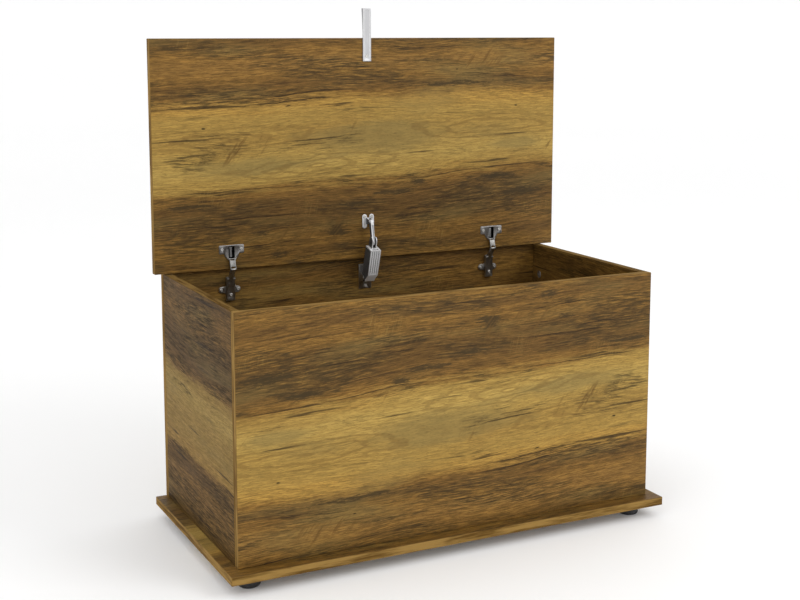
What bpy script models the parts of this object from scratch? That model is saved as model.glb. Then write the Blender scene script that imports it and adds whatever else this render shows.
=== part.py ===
# Storage chest of melamine-faced board, lid open
# Metres, +X right, +Y back, +Z up. The origin is on the floor under the base board's centre.
# In the rest pose the lid stands open. Closing turns it forward, about +X.

import math

import bmesh
import bpy
from mathutils import Matrix, Vector

MM = 0.001

# Fits
GAP = 0.3 * MM
PIN_CLEARANCE = 0.1 * MM
SCREW_CLEARANCE = 0.3 * MM
BORE_CLEARANCE = 0.3 * MM
# How far a cutter stands out of what it cuts
PROUD = 2 * MM
# Keeps the faces of two joined or cut shapes out of one plane
SLIVER = 0.05 * MM
MERGE = 0.001 * MM
SMOOTH_ANGLE = 30.0

# Sides of round pieces
SCREW_SIDES = 12
PIN_SIDES = 16
CAM_SIDES = 20
FOOT_SIDES = 28
CUP_SIDES = 28

# Boards
BOARD = 15 * MM
BOARD_EDGE = 0.7 * MM
BASE_WIDTH = 840 * MM
BASE_DEPTH = 420 * MM
BASE_REACH_ENDS = 20 * MM
BASE_REACH_FRONT = 25 * MM
CASE_HEIGHT = 420 * MM
LID_REACH_ENDS = 20 * MM
LID_REACH_FRONT = 25 * MM
LID_FORWARD = 15 * MM
LID_EDGE_GAP = 2 * MM

# Feet
FOOT_HEIGHT = 22 * MM
FOOT_RADIUS = 18.8 * MM
FOOT_ROUND = 4.5 * MM
FOOT_BEVEL = 1 * MM
FOOT_STUD_RADIUS = 3 * MM
FOOT_STUD = 8 * MM
FOOT_INSET = 45 * MM

# Levels and planes that follow from the boards
BASE_TOP = FOOT_HEIGHT + BOARD
RIM = BASE_TOP + CASE_HEIGHT
CASE_WIDTH = BASE_WIDTH - 2 * BASE_REACH_ENDS
CASE_FRONT = -BASE_DEPTH / 2 + BASE_REACH_FRONT
CASE_BACK = BASE_DEPTH / 2
FRONT_INNER = CASE_FRONT + BOARD
BACK_INNER = CASE_BACK - BOARD
END_INNER = CASE_WIDTH / 2 - BOARD
LID_WIDTH = CASE_WIDTH + 2 * LID_REACH_ENDS
LID_DEPTH = CASE_BACK - CASE_FRONT + LID_REACH_FRONT
LID_UNDER = BACK_INNER - LID_FORWARD
LID_EDGE = RIM + LID_EDGE_GAP
LID_FREE_EDGE = LID_EDGE + LID_DEPTH

# Hinge pivots, as (forward of the back board's inner face, above the rim)
HINGE_FROM_END = 125 * MM
HINGE_X = CASE_WIDTH / 2 - HINGE_FROM_END
ARM_PIVOT = (23.6 * MM, 2.1 * MM)
CUP_PIVOT = (18 * MM, 21 * MM)
HINGE_PIN = 1 * MM
HINGE_PIN_END = 0.4 * MM

# Hinge cup, as (up the lid from its hinge edge, into the lid from its underside)
CUP_CENTRE = 30.5 * MM
CUP_RADIUS = 12.9 * MM
CUP_WALL = 0.7 * MM
CUP_DEPTH = 10.6 * MM
CUP_FLANGE_RADIUS = 14.4 * MM
FLANGE = 0.7 * MM
WING_HALF = 24 * MM
WING_LOW = 28.5 * MM
WING_HIGH = 44.5 * MM
WING_CORNER = 2 * MM
WING_SCREW = (18.5 * MM, 36.5 * MM)
WINDOW_HALF = 5.9 * MM
WINDOW_HIGH = 42.4 * MM
LUG_INNER = 6.1 * MM
LUG_OUTER = 7.3 * MM
LUG_RADIUS = 2.1 * MM
LEAF_HALF = 1.8 * MM
LEAF = 0.8 * MM
LEAF_LOW = 21.5 * MM
LEAF_HIGH = 40 * MM
LEAF_TOP = 3.2 * MM
LEAF_FLOOR = 9.6 * MM

# Hinge link and arm
LINK_OUTER = 5.4 * MM
LINK_INNER = 4.2 * MM
LINK_ARM_EYE = 2 * MM
LINK_CUP_EYE = 1.9 * MM
LINK_WEB_START = 5 * MM
LINK_WEB_END = 3.2 * MM
LINK_WEB_INNER = 0.9 * MM
NOSE_HALF = 3.9 * MM
NOSE_RADIUS = 2.3 * MM
ARM_HALF = 8 * MM
ARM_WALL = 1.4 * MM
ARM_LOW = -58 * MM
ARM_BACK = 2.6 * MM
ARM_FRONT = 9 * MM
ARM_SHOULDER = -14 * MM
ARM_CRANK_START = 6 * MM
ARM_CRANK = (3.6 * MM, 1 * MM)
ARM_NECK_BACK = (14 * MM, -4.5 * MM)
ARM_NECK_FOOT = (6 * MM, 0.5 * MM)
ARM_HEEL = 1 * MM
ARM_SLOPE_START = 2 * MM
ARM_SLOPE = (10 * MM, 8 * MM)
ARM_NECK_CLEAR = 6 * MM
CHANNEL_TOP = -18 * MM
PLATE = 2 * MM
PLATE_LOW = -60 * MM
PLATE_HIGH = -16 * MM
PLATE_WING_HALF = 21 * MM
PLATE_WING_RISE = 6 * MM
PLATE_FILLET = (4 * MM, 2 * MM)
PLATE_SCREW = (16.5 * MM, -39 * MM)
RAIL_HALF = 6.3 * MM
RAIL_FRONT = 7 * MM
RAIL_LOW = -56 * MM
RAIL_HIGH = -20 * MM
ARM_SCREW_V = -48 * MM
ARM_SCREW_LENGTH = 7 * MM

# Screws
SCREW_HEAD = 3 * MM
SCREW_HEAD_HEIGHT = 1.4 * MM
SCREW_HEAD_RIM = 0.63 * MM
SCREW_HEAD_TOP = 2.1 * MM
SCREW_SHANK = 1.5 * MM
SCREW_POINT = 3 * MM
SCREW_LENGTH = 9 * MM
FLAT_HEAD_HEIGHT = 1.5 * MM
FLAT_HEAD_RIM = 0.1 * MM
PAN_RECESS = 1.65 * MM
FLAT_RECESS = 1.5 * MM
RECESS_SLIMNESS = 2.4
RECESS_FLOOR = 0.7 * MM

# Lid stay pivots, as (forward of the back board's inner face, above the rim)
STAY_X = 1.5 * MM
BASE_PIVOT = (17 * MM, -36 * MM)
KNEE = (38 * MM, 34 * MM)
LID_PIVOT = (30 * MM, 74 * MM)
STAY_PIN = 1.6 * MM
STAY_PIN_END = 0.6 * MM
STAY_PIN_PLAY = 1 * MM

# Stay housing and cap, as (up the housing from its pivot, forward of the line through its pivots)
HOUSING_HALF = 10.5 * MM
HOUSING_BACK = -8 * MM
HOUSING_FRONT = 17 * MM
HOUSING_SHOULDER = 12 * MM
HOUSING_TOP = 62.5 * MM
HOUSING_WALL = 1.6 * MM
HOUSING_FLOOR = HOUSING_SHOULDER + HOUSING_WALL
CAP = 1.6 * MM
GROOVE_PLACES = (-6.6 * MM, -2.2 * MM, 2.2 * MM, 6.6 * MM)
GROOVE_WIDTH = 1.3 * MM
GROOVE_DEPTH = 0.6 * MM
EAR_INNER = 3.1 * MM
EAR_OUTER = 4.7 * MM
EAR_RADIUS = 7.5 * MM
EAR_REACH = 4.5 * MM
FOLD_SLOT_LENGTH = 13 * MM
FOLD_SLOT_FRONT = 2 * MM
CAP_SLOT = (6 * MM, 10.5 * MM, 14.5 * MM)
PLUNGER_MIDDLE = 4.5 * MM
PLUNGER_ROD = 2.2 * MM
PLUNGER_HEAD = 6.2 * MM
PLUNGER_LOW = 18 * MM
PLUNGER_HEAD_LOW = 56 * MM
PLUNGER_HEAD_HIGH = 59 * MM
COIL_RADIUS = 4.6 * MM
COIL_WIRE = 0.7 * MM
COIL_TURNS = 9
COIL_STEPS = 10

# Stay arm and brackets
BAR_HALF = 2.7 * MM
BAR_RADIUS = 4.2 * MM
BAR_GROOVE_HALF = 1.5 * MM
BAR_GROOVE_FLOOR = 2.2 * MM
BAR_GROOVE_END = 7 * MM
BRACKET_SHEET = 1.4 * MM
BASE_CHEEK_GAP = 0.4 * MM
BASE_CHEEK_INNER = HOUSING_HALF + BASE_CHEEK_GAP
BASE_PLATE_BORDER = 0.7 * MM
BASE_PLATE_HALF = BASE_CHEEK_INNER + BRACKET_SHEET + BASE_PLATE_BORDER
BASE_PLATE_LOW = -60 * MM
BASE_PLATE_HIGH = -12 * MM
BASE_CHEEK_RADIUS = 4.5 * MM
BASE_CHEEK_RISE = 14 * MM
BASE_SCREW_RISE = 18.5 * MM
TAB_MIDDLE = 7.4 * MM
TAB_RADIUS = 4.8 * MM
TAB_LOW = 58 * MM
TAB_HIGH = 85 * MM
TAB_SCREW_S = 80.5 * MM
LID_CHEEK_HALF = 6 * MM
LID_CHEEK_RADIUS = 3.2 * MM

# Cam fasteners
CAM_RADIUS = 7.2 * MM
CAM_DEPTH = 12 * MM
CAM_SUNK = 0.2 * MM
CAM_FROM_EDGE = 24 * MM
CAM_FROM_END = 60 * MM
CAM_BEVEL = 0.6 * MM
CAM_RECESS = 3.5 * MM
CAM_RECESS_FLOOR = -1.6 * MM

# Pull strip
PULL_HALF = 8.4 * MM
PULL_THICK = 2.2 * MM
PULL_ON_LID = 43.6 * MM
PULL_BEYOND = 55.5 * MM
PULL_TIP = 6.5 * MM
PULL_BEND_START = 4 * MM
PULL_BEND_STEPS = 6
PULL_BEND_POWER = 1.5
PULL_TIP_ROUND = 1.4 * MM
PULL_CHANNEL_HALF = 5.6 * MM
PULL_CHANNEL_DEPTH = 0.8 * MM
PULL_CHANNEL_END = 2.4 * MM
PULL_CHANNEL_CORNER = 2.5 * MM
PULL_SCREW_FROM_END = 9.5 * MM
PULL_SCREW_SUNK = 0.1 * MM

OAK = (0.235, 0.130, 0.048)
OAK_END = (0.190, 0.120, 0.055)
NICKEL = (0.62, 0.61, 0.58)
ALUMINIUM = (0.66, 0.66, 0.65)
SPRING_STEEL = (0.45, 0.45, 0.44)
BLACK_PLASTIC = (0.012, 0.012, 0.013)
ZINC = (0.50, 0.50, 0.49)

OUT_OF_LID = (0, -1, 0)
OUT_OF_BACK = (0, -1, 0)


def clear_scene():
    for old in list(bpy.data.objects):
        bpy.data.objects.remove(old, do_unlink=True)


def material(name, colour, roughness, metallic):
    made = bpy.data.materials.new(name)
    made.use_nodes = True
    shader = made.node_tree.nodes["Principled BSDF"]
    shader.inputs["Base Color"].default_value = (*colour, 1.0)
    shader.inputs["Roughness"].default_value = roughness
    shader.inputs["Metallic"].default_value = metallic
    return made


# Places


def side(u, v):
    """(y, z) of a place given forward of the back board's inner face and above the rim."""
    return (BACK_INNER - u, RIM + v)


def on_lid(s, d):
    """(y, z) of a place given up the open lid from its hinge edge and into it from its underside."""
    return (LID_UNDER + d, LID_EDGE + s)


def along(start, end):
    """A function from (distance from start to end, offset forward of that line) to (u, v), and the length."""
    length = math.dist(start, end)
    way = ((end[0] - start[0]) / length, (end[1] - start[1]) / length)

    def place(t, w):
        return (start[0] + way[0] * t + way[1] * w, start[1] + way[1] * t - way[0] * w)

    return place, length


def arc(centre, radius, start, end, steps):
    """Points of an arc, with angles in degrees from the first axis towards the second."""
    points = []
    for step in range(steps + 1):
        angle = math.radians(start + (end - start) * step / steps)
        points.append((centre[0] + radius * math.cos(angle), centre[1] + radius * math.sin(angle)))
    return points


def mapped(points, *placers):
    for placer in placers:
        points = [placer(*point) for point in points]
    return points


# Solids


def new_object(name, bm, smooth=0.0):
    bmesh.ops.recalc_face_normals(bm, faces=bm.faces)
    mesh = bpy.data.meshes.new(name)
    bm.to_mesh(mesh)
    bm.free()
    if smooth:
        mesh.shade_smooth()
        mesh.set_sharp_from_angle(angle=math.radians(smooth))
    made = bpy.data.objects.new(name, mesh)
    bpy.context.scene.collection.objects.link(made)
    return made


def box(name, low, high, eased=0.0):
    bm = bmesh.new()
    bmesh.ops.create_cube(bm, size=1.0)
    bmesh.ops.scale(bm, vec=Vector(high) - Vector(low), verts=bm.verts)
    bmesh.ops.translate(bm, vec=(Vector(high) + Vector(low)) / 2, verts=bm.verts)
    if eased:
        bmesh.ops.bevel(bm, geom=bm.edges[:], offset=eased, segments=1, affect="EDGES")
    return new_object(name, bm)


def extruded(name, points, way):
    bm = bmesh.new()
    face = bm.faces.new([bm.verts.new(point) for point in points])
    grown = bmesh.ops.extrude_face_region(bm, geom=[face])
    moved = [item for item in grown["geom"] if isinstance(item, bmesh.types.BMVert)]
    bmesh.ops.translate(bm, vec=way, verts=moved)
    return new_object(name, bm, SMOOTH_ANGLE)


def prism(name, outline, low_x, high_x):
    """A solid with an outline of (y, z) points, between two x places."""
    return extruded(name, [(low_x, y, z) for y, z in outline], (high_x - low_x, 0, 0))


def sheet(name, outline, low_y, high_y):
    """A solid with an outline of (x, z) points, between two y places."""
    return extruded(name, [(x, low_y, z) for x, z in outline], (0, high_y - low_y, 0))


def turned(name, profile, base, direction, segments):
    """A turned solid. The profile is (radius, height) from the bottom centre to the top centre."""
    bm = bmesh.new()
    verts = [bm.verts.new((radius, 0, height)) for radius, height in profile]
    edges = [bm.edges.new(pair) for pair in zip(verts, verts[1:])]
    bmesh.ops.spin(
        bm, geom=verts + edges, cent=(0, 0, 0), axis=(0, 0, 1), angle=math.tau, steps=segments
    )
    bmesh.ops.remove_doubles(bm, verts=bm.verts, dist=MERGE)
    turn = Vector((0, 0, 1)).rotation_difference(Vector(direction)).to_matrix().to_4x4()
    bmesh.ops.transform(bm, matrix=Matrix.Translation(base) @ turn, verts=bm.verts)
    return new_object(name, bm, SMOOTH_ANGLE)


def rod(name, radius, start, end, segments=PIN_SIDES):
    way = Vector(end) - Vector(start)
    profile = [(0, 0), (radius, 0), (radius, way.length), (0, way.length)]
    return turned(name, profile, start, way.normalized(), segments)


def cross_rod(name, radius, middle_x, half, place, segments=PIN_SIDES):
    """A rod along X through a (y, z) place."""
    return rod(name, radius, (middle_x - half, *place), (middle_x + half, *place), segments)


def combine(target, other, operation):
    other.hide_render = True
    other.display_type = "WIRE"
    step = target.modifiers.new(f"{operation.lower()} {other.name}", "BOOLEAN")
    step.operation = operation
    step.solver = "EXACT"
    step.object = other


def cut(target, *others):
    for other in others:
        combine(target, other, "DIFFERENCE")


def join(target, *others):
    for other in others:
        combine(target, other, "UNION")


# Parents on the joint axes


def world_place(obj):
    place = Vector()
    while obj:
        place += obj.location
        obj = obj.parent
    return place


def axis_empty(name, place, parent=None):
    """An empty on a joint's axis, at a world place."""
    made = bpy.data.objects.new(name, None)
    bpy.context.scene.collection.objects.link(made)
    made.empty_display_size = 20 * MM
    made.location = Vector(place) - world_place(parent)
    made.parent = parent
    return made


def with_operands(obj):
    """The object and everything that its Booleans use."""
    found = [obj]
    for step in obj.modifiers:
        found.extend(with_operands(step.object))
    return found


def settle(obj, parent, look):
    """Hangs a finished piece on its parent's axis and gives it its material."""
    colour, roughness, metallic = look
    for piece in with_operands(obj):
        piece.data.transform(Matrix.Translation(-world_place(parent)))
        piece.parent = parent
    obj.data.materials.append(material(f"{obj.name}_look", colour, roughness, metallic))


OAK_LOOK = (OAK, 0.45, 0.0)
OAK_END_LOOK = (OAK_END, 0.5, 0.0)
NICKEL_LOOK = (NICKEL, 0.3, 1.0)
ALUMINIUM_LOOK = (ALUMINIUM, 0.35, 1.0)
STEEL_LOOK = (SPRING_STEEL, 0.35, 1.0)
ZINC_LOOK = (ZINC, 0.4, 1.0)
PLASTIC_LOOK = (BLACK_PLASTIC, 0.4, 0.0)


# Screws. A place is in the middle of the head's underside, or of a flat head's top.


def recess_bar(name, place, out, way, reach, floor):
    """One bar of a cross recess, from its floor outwards."""
    bm = bmesh.new()
    bmesh.ops.create_cube(bm, size=1.0)
    bmesh.ops.scale(bm, vec=(2 * reach, reach / RECESS_SLIMNESS, PROUD), verts=bm.verts)
    turn = Matrix((way, out.cross(way), out)).transposed().to_4x4()
    middle = Vector(place) + out * (floor + PROUD / 2)
    bmesh.ops.transform(bm, matrix=Matrix.Translation(middle) @ turn, verts=bm.verts)
    return new_object(name, bm)


def cut_recess(obj, place, direction, reach, floor):
    out = Vector(direction)
    across = Vector((0, 0, 1))
    upright = recess_bar(f"{obj.name}_recess_1", place, out, across, reach, floor)
    level = recess_bar(f"{obj.name}_recess_2", place, out, out.cross(across), reach, floor)
    cut(obj, upright, level)


def pan_screw(name, place, direction, length=SCREW_LENGTH):
    head = SCREW_HEAD
    top = SCREW_HEAD_HEIGHT
    profile = [
        (0, 0),
        (SCREW_SHANK, SCREW_POINT),
        (SCREW_SHANK, length),
        (head, length),
        (head, length + SCREW_HEAD_RIM),
        (SCREW_HEAD_TOP, length + top),
        (0, length + top),
    ]
    base = Vector(place) - Vector(direction) * length
    made = turned(name, profile, base, direction, SCREW_SIDES)
    cut_recess(made, place, direction, PAN_RECESS, RECESS_FLOOR)
    return made


def pilot(name, place, direction, length=SCREW_LENGTH):
    """The hole that a pan-head screw goes into."""
    out = Vector(direction)
    end = Vector(place) - out * (length + SCREW_CLEARANCE)
    return rod(name, SCREW_SHANK + SCREW_CLEARANCE, Vector(place) + out * PROUD, end, SCREW_SIDES)


def flat_screw(name, place, direction):
    cone = SCREW_LENGTH - FLAT_HEAD_HEIGHT
    profile = [
        (0, 0),
        (SCREW_SHANK, SCREW_POINT),
        (SCREW_SHANK, cone),
        (SCREW_HEAD, SCREW_LENGTH - FLAT_HEAD_RIM),
        (SCREW_HEAD, SCREW_LENGTH),
        (0, SCREW_LENGTH),
    ]
    base = Vector(place) - Vector(direction) * SCREW_LENGTH
    made = turned(name, profile, base, direction, SCREW_SIDES)
    cut_recess(made, place, direction, FLAT_RECESS, -RECESS_FLOOR)
    return made


def countersink(name, place, direction):
    """The hole that a flat-head screw goes into."""
    shank = SCREW_SHANK + SCREW_CLEARANCE
    head = SCREW_HEAD + SCREW_CLEARANCE
    deep = SCREW_CLEARANCE + SCREW_LENGTH
    profile = [
        (0, 0),
        (shank, 0),
        (shank, deep - FLAT_HEAD_HEIGHT - SCREW_CLEARANCE),
        (head, deep - SCREW_CLEARANCE),
        (head, deep + PROUD / 2),
        (0, deep + PROUD / 2),
    ]
    base = Vector(place) - Vector(direction) * deep
    return turned(name, profile, base, direction, SCREW_SIDES)


# Screw places


def wing_screw_places(middle_x):
    y, z = on_lid(WING_SCREW[1], -2 * GAP - FLANGE)
    return [(middle_x + way * WING_SCREW[0], y, z) for way in (-1, 1)]


def plate_screw_places(middle_x):
    y, z = side(2 * GAP + PLATE, PLATE_SCREW[1])
    return [(middle_x + way * PLATE_SCREW[0], y, z) for way in (-1, 1)]


def arm_screw_place(middle_x):
    return (middle_x, *side(ARM_FRONT + GAP, ARM_SCREW_V))


def stay_base_screw_places():
    u = 2 * GAP + BRACKET_SHEET
    return [(STAY_X, *side(u, BASE_PIVOT[1] + way * BASE_SCREW_RISE)) for way in (-1, 1)]


def stay_tab_screw_places():
    y, z = on_lid(TAB_SCREW_S, -2 * GAP - BRACKET_SHEET)
    return [(STAY_X + way * TAB_MIDDLE, y, z) for way in (-1, 1)]


def pull_screw_place():
    y = LID_UNDER - GAP - PULL_THICK + PULL_CHANNEL_DEPTH + PULL_SCREW_SUNK
    return (0, y, LID_FREE_EDGE - PULL_ON_LID + PULL_SCREW_FROM_END)


def foot_places():
    x = BASE_WIDTH / 2 - FOOT_INSET
    y = BASE_DEPTH / 2 - FOOT_INSET
    return [(way_x * x, way_y * y, 0) for way_y in (-1, 1) for way_x in (-1, 1)]


def cam_places(way):
    """Places of one end board's cams, on its inner face."""
    rows = (BASE_TOP + CAM_FROM_END, RIM - CAM_FROM_END)
    columns = (FRONT_INNER + CAM_FROM_EDGE, BACK_INNER - CAM_FROM_EDGE)
    return [(way * END_INNER, y, z) for z in rows for y in columns]


# Case


def base_board(parent):
    low = (-BASE_WIDTH / 2, -BASE_DEPTH / 2, FOOT_HEIGHT)
    made = box("base_board", low, (BASE_WIDTH / 2, BASE_DEPTH / 2, BASE_TOP), BOARD_EDGE)
    for number, (x, y, _) in enumerate(foot_places(), 1):
        top = (x, y, FOOT_HEIGHT + FOOT_STUD + BORE_CLEARANCE)
        start = (x, y, FOOT_HEIGHT - PROUD)
        cut(made, rod(f"stud_bore_{number}", FOOT_STUD_RADIUS + BORE_CLEARANCE, start, top))
    settle(made, parent, OAK_LOOK)


def foot(name, place, parent):
    top = FOOT_HEIGHT - GAP
    profile = [
        (0, 0),
        *arc((FOOT_RADIUS - FOOT_ROUND, FOOT_ROUND), FOOT_ROUND, -90, 0, 4),
        (FOOT_RADIUS, top - FOOT_BEVEL),
        (FOOT_RADIUS - FOOT_BEVEL, top),
        (FOOT_STUD_RADIUS, top),
        (FOOT_STUD_RADIUS, FOOT_HEIGHT + FOOT_STUD - FOOT_BEVEL),
        (FOOT_STUD_RADIUS - FOOT_BEVEL, FOOT_HEIGHT + FOOT_STUD),
        (0, FOOT_HEIGHT + FOOT_STUD),
    ]
    settle(turned(name, profile, place, (0, 0, 1), FOOT_SIDES), parent, PLASTIC_LOOK)


def front_board(parent):
    low = (-CASE_WIDTH / 2, CASE_FRONT, BASE_TOP + GAP)
    made = box("front_board", low, (CASE_WIDTH / 2, FRONT_INNER, RIM), BOARD_EDGE)
    settle(made, parent, OAK_LOOK)


def back_board(parent):
    low = (-CASE_WIDTH / 2, BACK_INNER, BASE_TOP + GAP)
    made = box("back_board", low, (CASE_WIDTH / 2, CASE_BACK, RIM), BOARD_EDGE)
    places = plate_screw_places(-HINGE_X) + plate_screw_places(HINGE_X) + stay_base_screw_places()
    for number, place in enumerate(places, 1):
        cut(made, pilot(f"back_pilot_{number}", place, OUT_OF_BACK))
    settle(made, parent, OAK_LOOK)


def end_board(name, way, parent):
    faces = sorted((way * END_INNER, way * CASE_WIDTH / 2))
    low = (faces[0], FRONT_INNER + GAP, BASE_TOP + GAP)
    made = box(name, low, (faces[1], BACK_INNER - GAP, RIM), BOARD_EDGE)
    for number, place in enumerate(cam_places(way), 1):
        inward = Vector((-way, 0, 0))
        end = Vector(place) - inward * (CAM_DEPTH + BORE_CLEARANCE)
        start = Vector(place) + inward * PROUD
        cut(made, rod(f"{name}_cam_bore_{number}", CAM_RADIUS + BORE_CLEARANCE, start, end, CAM_SIDES))
    settle(made, parent, OAK_END_LOOK)


def cam(name, place, way, parent):
    inward = Vector((-way, 0, 0))
    base = Vector(place) - inward * CAM_DEPTH
    top = CAM_DEPTH - CAM_SUNK
    profile = [
        (0, 0),
        (CAM_RADIUS, 0),
        (CAM_RADIUS, top - CAM_BEVEL),
        (CAM_RADIUS - CAM_BEVEL, top),
        (0, top),
    ]
    made = turned(name, profile, base, inward, CAM_SIDES)
    cut_recess(made, place, inward, CAM_RECESS, CAM_RECESS_FLOOR)
    settle(made, parent, ZINC_LOOK)


# Lid


def lid_board(parent):
    low = (-LID_WIDTH / 2, LID_UNDER, LID_EDGE)
    made = box("lid_board", low, (LID_WIDTH / 2, LID_UNDER + BOARD, LID_FREE_EDGE), BOARD_EDGE)
    for number, middle_x in enumerate((-HINGE_X, HINGE_X), 1):
        mouth, z = on_lid(CUP_CENTRE, -PROUD)
        floor = LID_UNDER + CUP_DEPTH + BORE_CLEARANCE
        bore = (middle_x, mouth, z), (middle_x, floor, z)
        cut(made, rod(f"cup_bore_{number}", CUP_RADIUS + BORE_CLEARANCE, *bore, CUP_SIDES))
    places = wing_screw_places(-HINGE_X) + wing_screw_places(HINGE_X) + stay_tab_screw_places()
    for number, place in enumerate(places, 1):
        cut(made, pilot(f"lid_pilot_{number}", place, OUT_OF_LID))
    cut(made, countersink("pull_pilot", pull_screw_place(), OUT_OF_LID))
    settle(made, parent, OAK_LOOK)


# Hinges


def hinge_plate(name, middle_x, parent):
    """A cross-shaped mounting plate with a raised rail for the arm."""
    wing_low = RIM + PLATE_SCREW[1] - PLATE_WING_RISE
    wing_high = RIM + PLATE_SCREW[1] + PLATE_WING_RISE
    half = []
    half.append((RAIL_HALF, RIM + PLATE_LOW))
    half.append((RAIL_HALF, wing_low - PLATE_FILLET[1]))
    half.append((RAIL_HALF + PLATE_FILLET[0], wing_low))
    wing_end = (PLATE_WING_HALF - PLATE_WING_RISE, RIM + PLATE_SCREW[1])
    half.extend(arc(wing_end, PLATE_WING_RISE, -90, 90, 8))
    half.append((RAIL_HALF + PLATE_FILLET[0], wing_high))
    half.append((RAIL_HALF, wing_high + PLATE_FILLET[1]))
    half.append((RAIL_HALF, RIM + PLATE_HIGH))
    outline = [(middle_x + x, z) for x, z in half] + [(middle_x - x, z) for x, z in reversed(half)]
    made = sheet(name, outline, BACK_INNER - GAP - PLATE, BACK_INNER - GAP)
    low = (middle_x - RAIL_HALF + 2 * SLIVER, BACK_INNER - RAIL_FRONT, RIM + RAIL_LOW)
    high = (middle_x + RAIL_HALF - 2 * SLIVER, BACK_INNER - GAP - PLATE / 2, RIM + RAIL_HIGH)
    join(made, box(f"{name}_rail", low, high))
    for number, place in enumerate(plate_screw_places(middle_x), 1):
        cut(made, pilot(f"{name}_hole_{number}", place, OUT_OF_BACK))
    clamp = arm_screw_place(middle_x)
    cut(made, pilot(f"{name}_tapped_hole", clamp, OUT_OF_BACK, ARM_SCREW_LENGTH))
    settle(made, parent, NICKEL_LOOK)


def hinge_arm(name, middle_x, parent):
    """A cranked arm: a channel over the plate's rail, and a narrow neck up to the pivot."""
    outline = [
        (ARM_BACK, ARM_LOW),
        (ARM_FRONT, ARM_LOW),
        (ARM_FRONT, CHANNEL_TOP - ARM_CRANK_START),
        (ARM_FRONT + ARM_CRANK[0], CHANNEL_TOP + ARM_CRANK[1]),
        *arc(ARM_PIVOT, NOSE_RADIUS, -35, 125, 8),
        ARM_NECK_BACK,
        (ARM_NECK_FOOT[0], ARM_SHOULDER + ARM_NECK_FOOT[1]),
        (ARM_BACK, ARM_SHOULDER - ARM_HEEL),
    ]
    made = prism(name, mapped(outline, side), middle_x - ARM_HALF, middle_x + ARM_HALF)
    slope_low = ARM_SHOULDER - ARM_SLOPE[1]
    past_front = ARM_PIVOT[0] + ARM_NECK_CLEAR
    past_top = ARM_PIVOT[1] + ARM_NECK_CLEAR
    for number, way in enumerate((-1, 1), 1):
        faces = sorted((middle_x + way * NOSE_HALF, middle_x + way * (ARM_HALF + PROUD)))
        shoulder = [
            (-PROUD, ARM_SHOULDER),
            (ARM_FRONT - ARM_SLOPE_START, ARM_SHOULDER),
            (ARM_FRONT + ARM_SLOPE[0], slope_low),
            (past_front, slope_low),
            (past_front, past_top),
            (-PROUD, past_top),
        ]
        cut(made, prism(f"{name}_side_{number}", mapped(shoulder, side), *faces))
    inner = ARM_HALF - ARM_WALL
    low = (middle_x - inner, BACK_INNER - RAIL_FRONT - GAP, RIM + ARM_LOW - PROUD)
    high = (middle_x + inner, BACK_INNER, RIM + CHANNEL_TOP)
    cut(made, box(f"{name}_channel", low, high))
    pivot = side(*ARM_PIVOT)
    cut(made, cross_rod(f"{name}_pin_hole", HINGE_PIN + PIN_CLEARANCE, middle_x, ARM_HALF, pivot))
    cut(made, pilot(f"{name}_screw_hole", arm_screw_place(middle_x), OUT_OF_BACK, ARM_SCREW_LENGTH))
    settle(made, parent, NICKEL_LOOK)


def hinge_link(name, middle_x, parent):
    """Two cheeks between the arm's pin and the cup's pin, joined by a web in front."""
    place, length = along(ARM_PIVOT, CUP_PIVOT)
    heading = math.degrees(math.atan2(CUP_PIVOT[1] - ARM_PIVOT[1], CUP_PIVOT[0] - ARM_PIVOT[0]))
    outline = arc(ARM_PIVOT, LINK_ARM_EYE, heading + 90, heading + 270, 10)
    outline += arc(CUP_PIVOT, LINK_CUP_EYE, heading - 90, heading + 90, 10)
    made = prism(name, mapped(outline, side), middle_x - LINK_OUTER, middle_x + LINK_OUTER)
    past = 2 * PROUD
    inside = [
        (-past, -past),
        (length + past, -past),
        (length + past, past),
        (length - LINK_WEB_END, past),
        (length - LINK_WEB_END, LINK_WEB_INNER),
        (LINK_WEB_START, LINK_WEB_INNER),
        (LINK_WEB_START, past),
        (-past, past),
    ]
    low_x, high_x = middle_x - LINK_INNER, middle_x + LINK_INNER
    cut(made, prism(f"{name}_inside", mapped(inside, place, side), low_x, high_x))
    for number, pivot in enumerate((ARM_PIVOT, CUP_PIVOT), 1):
        hole = HINGE_PIN + PIN_CLEARANCE
        cut(made, cross_rod(f"{name}_pin_hole_{number}", hole, middle_x, LUG_OUTER, side(*pivot)))
    settle(made, parent, NICKEL_LOOK)


def cup_cover(middle_x):
    """The (x, z) outline of the cup's cover, a winged disc with a window open to the hinge edge."""
    z_low, z_high = LID_EDGE + WING_LOW, LID_EDGE + WING_HIGH
    z_cup, z_window = LID_EDGE + CUP_CENTRE, LID_EDGE + WINDOW_HIGH
    wing = math.degrees(math.asin((CUP_CENTRE - WING_LOW) / CUP_FLANGE_RADIUS))
    notch = math.degrees(math.acos(WINDOW_HALF / CUP_FLANGE_RADIUS))
    corner = WING_CORNER
    x_corner = WING_HALF - corner
    right = [(WINDOW_HALF, z_window)]
    right += arc((0, z_cup), CUP_FLANGE_RADIUS, -notch, -wing, 8)
    right += arc((x_corner, z_low + corner), corner, -90, 0, 3)
    right += arc((x_corner, z_high - corner), corner, 0, 90, 3)
    left = [(-x, z) for x, z in reversed(right)]
    return [(middle_x + x, z) for x, z in right + left]


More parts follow.
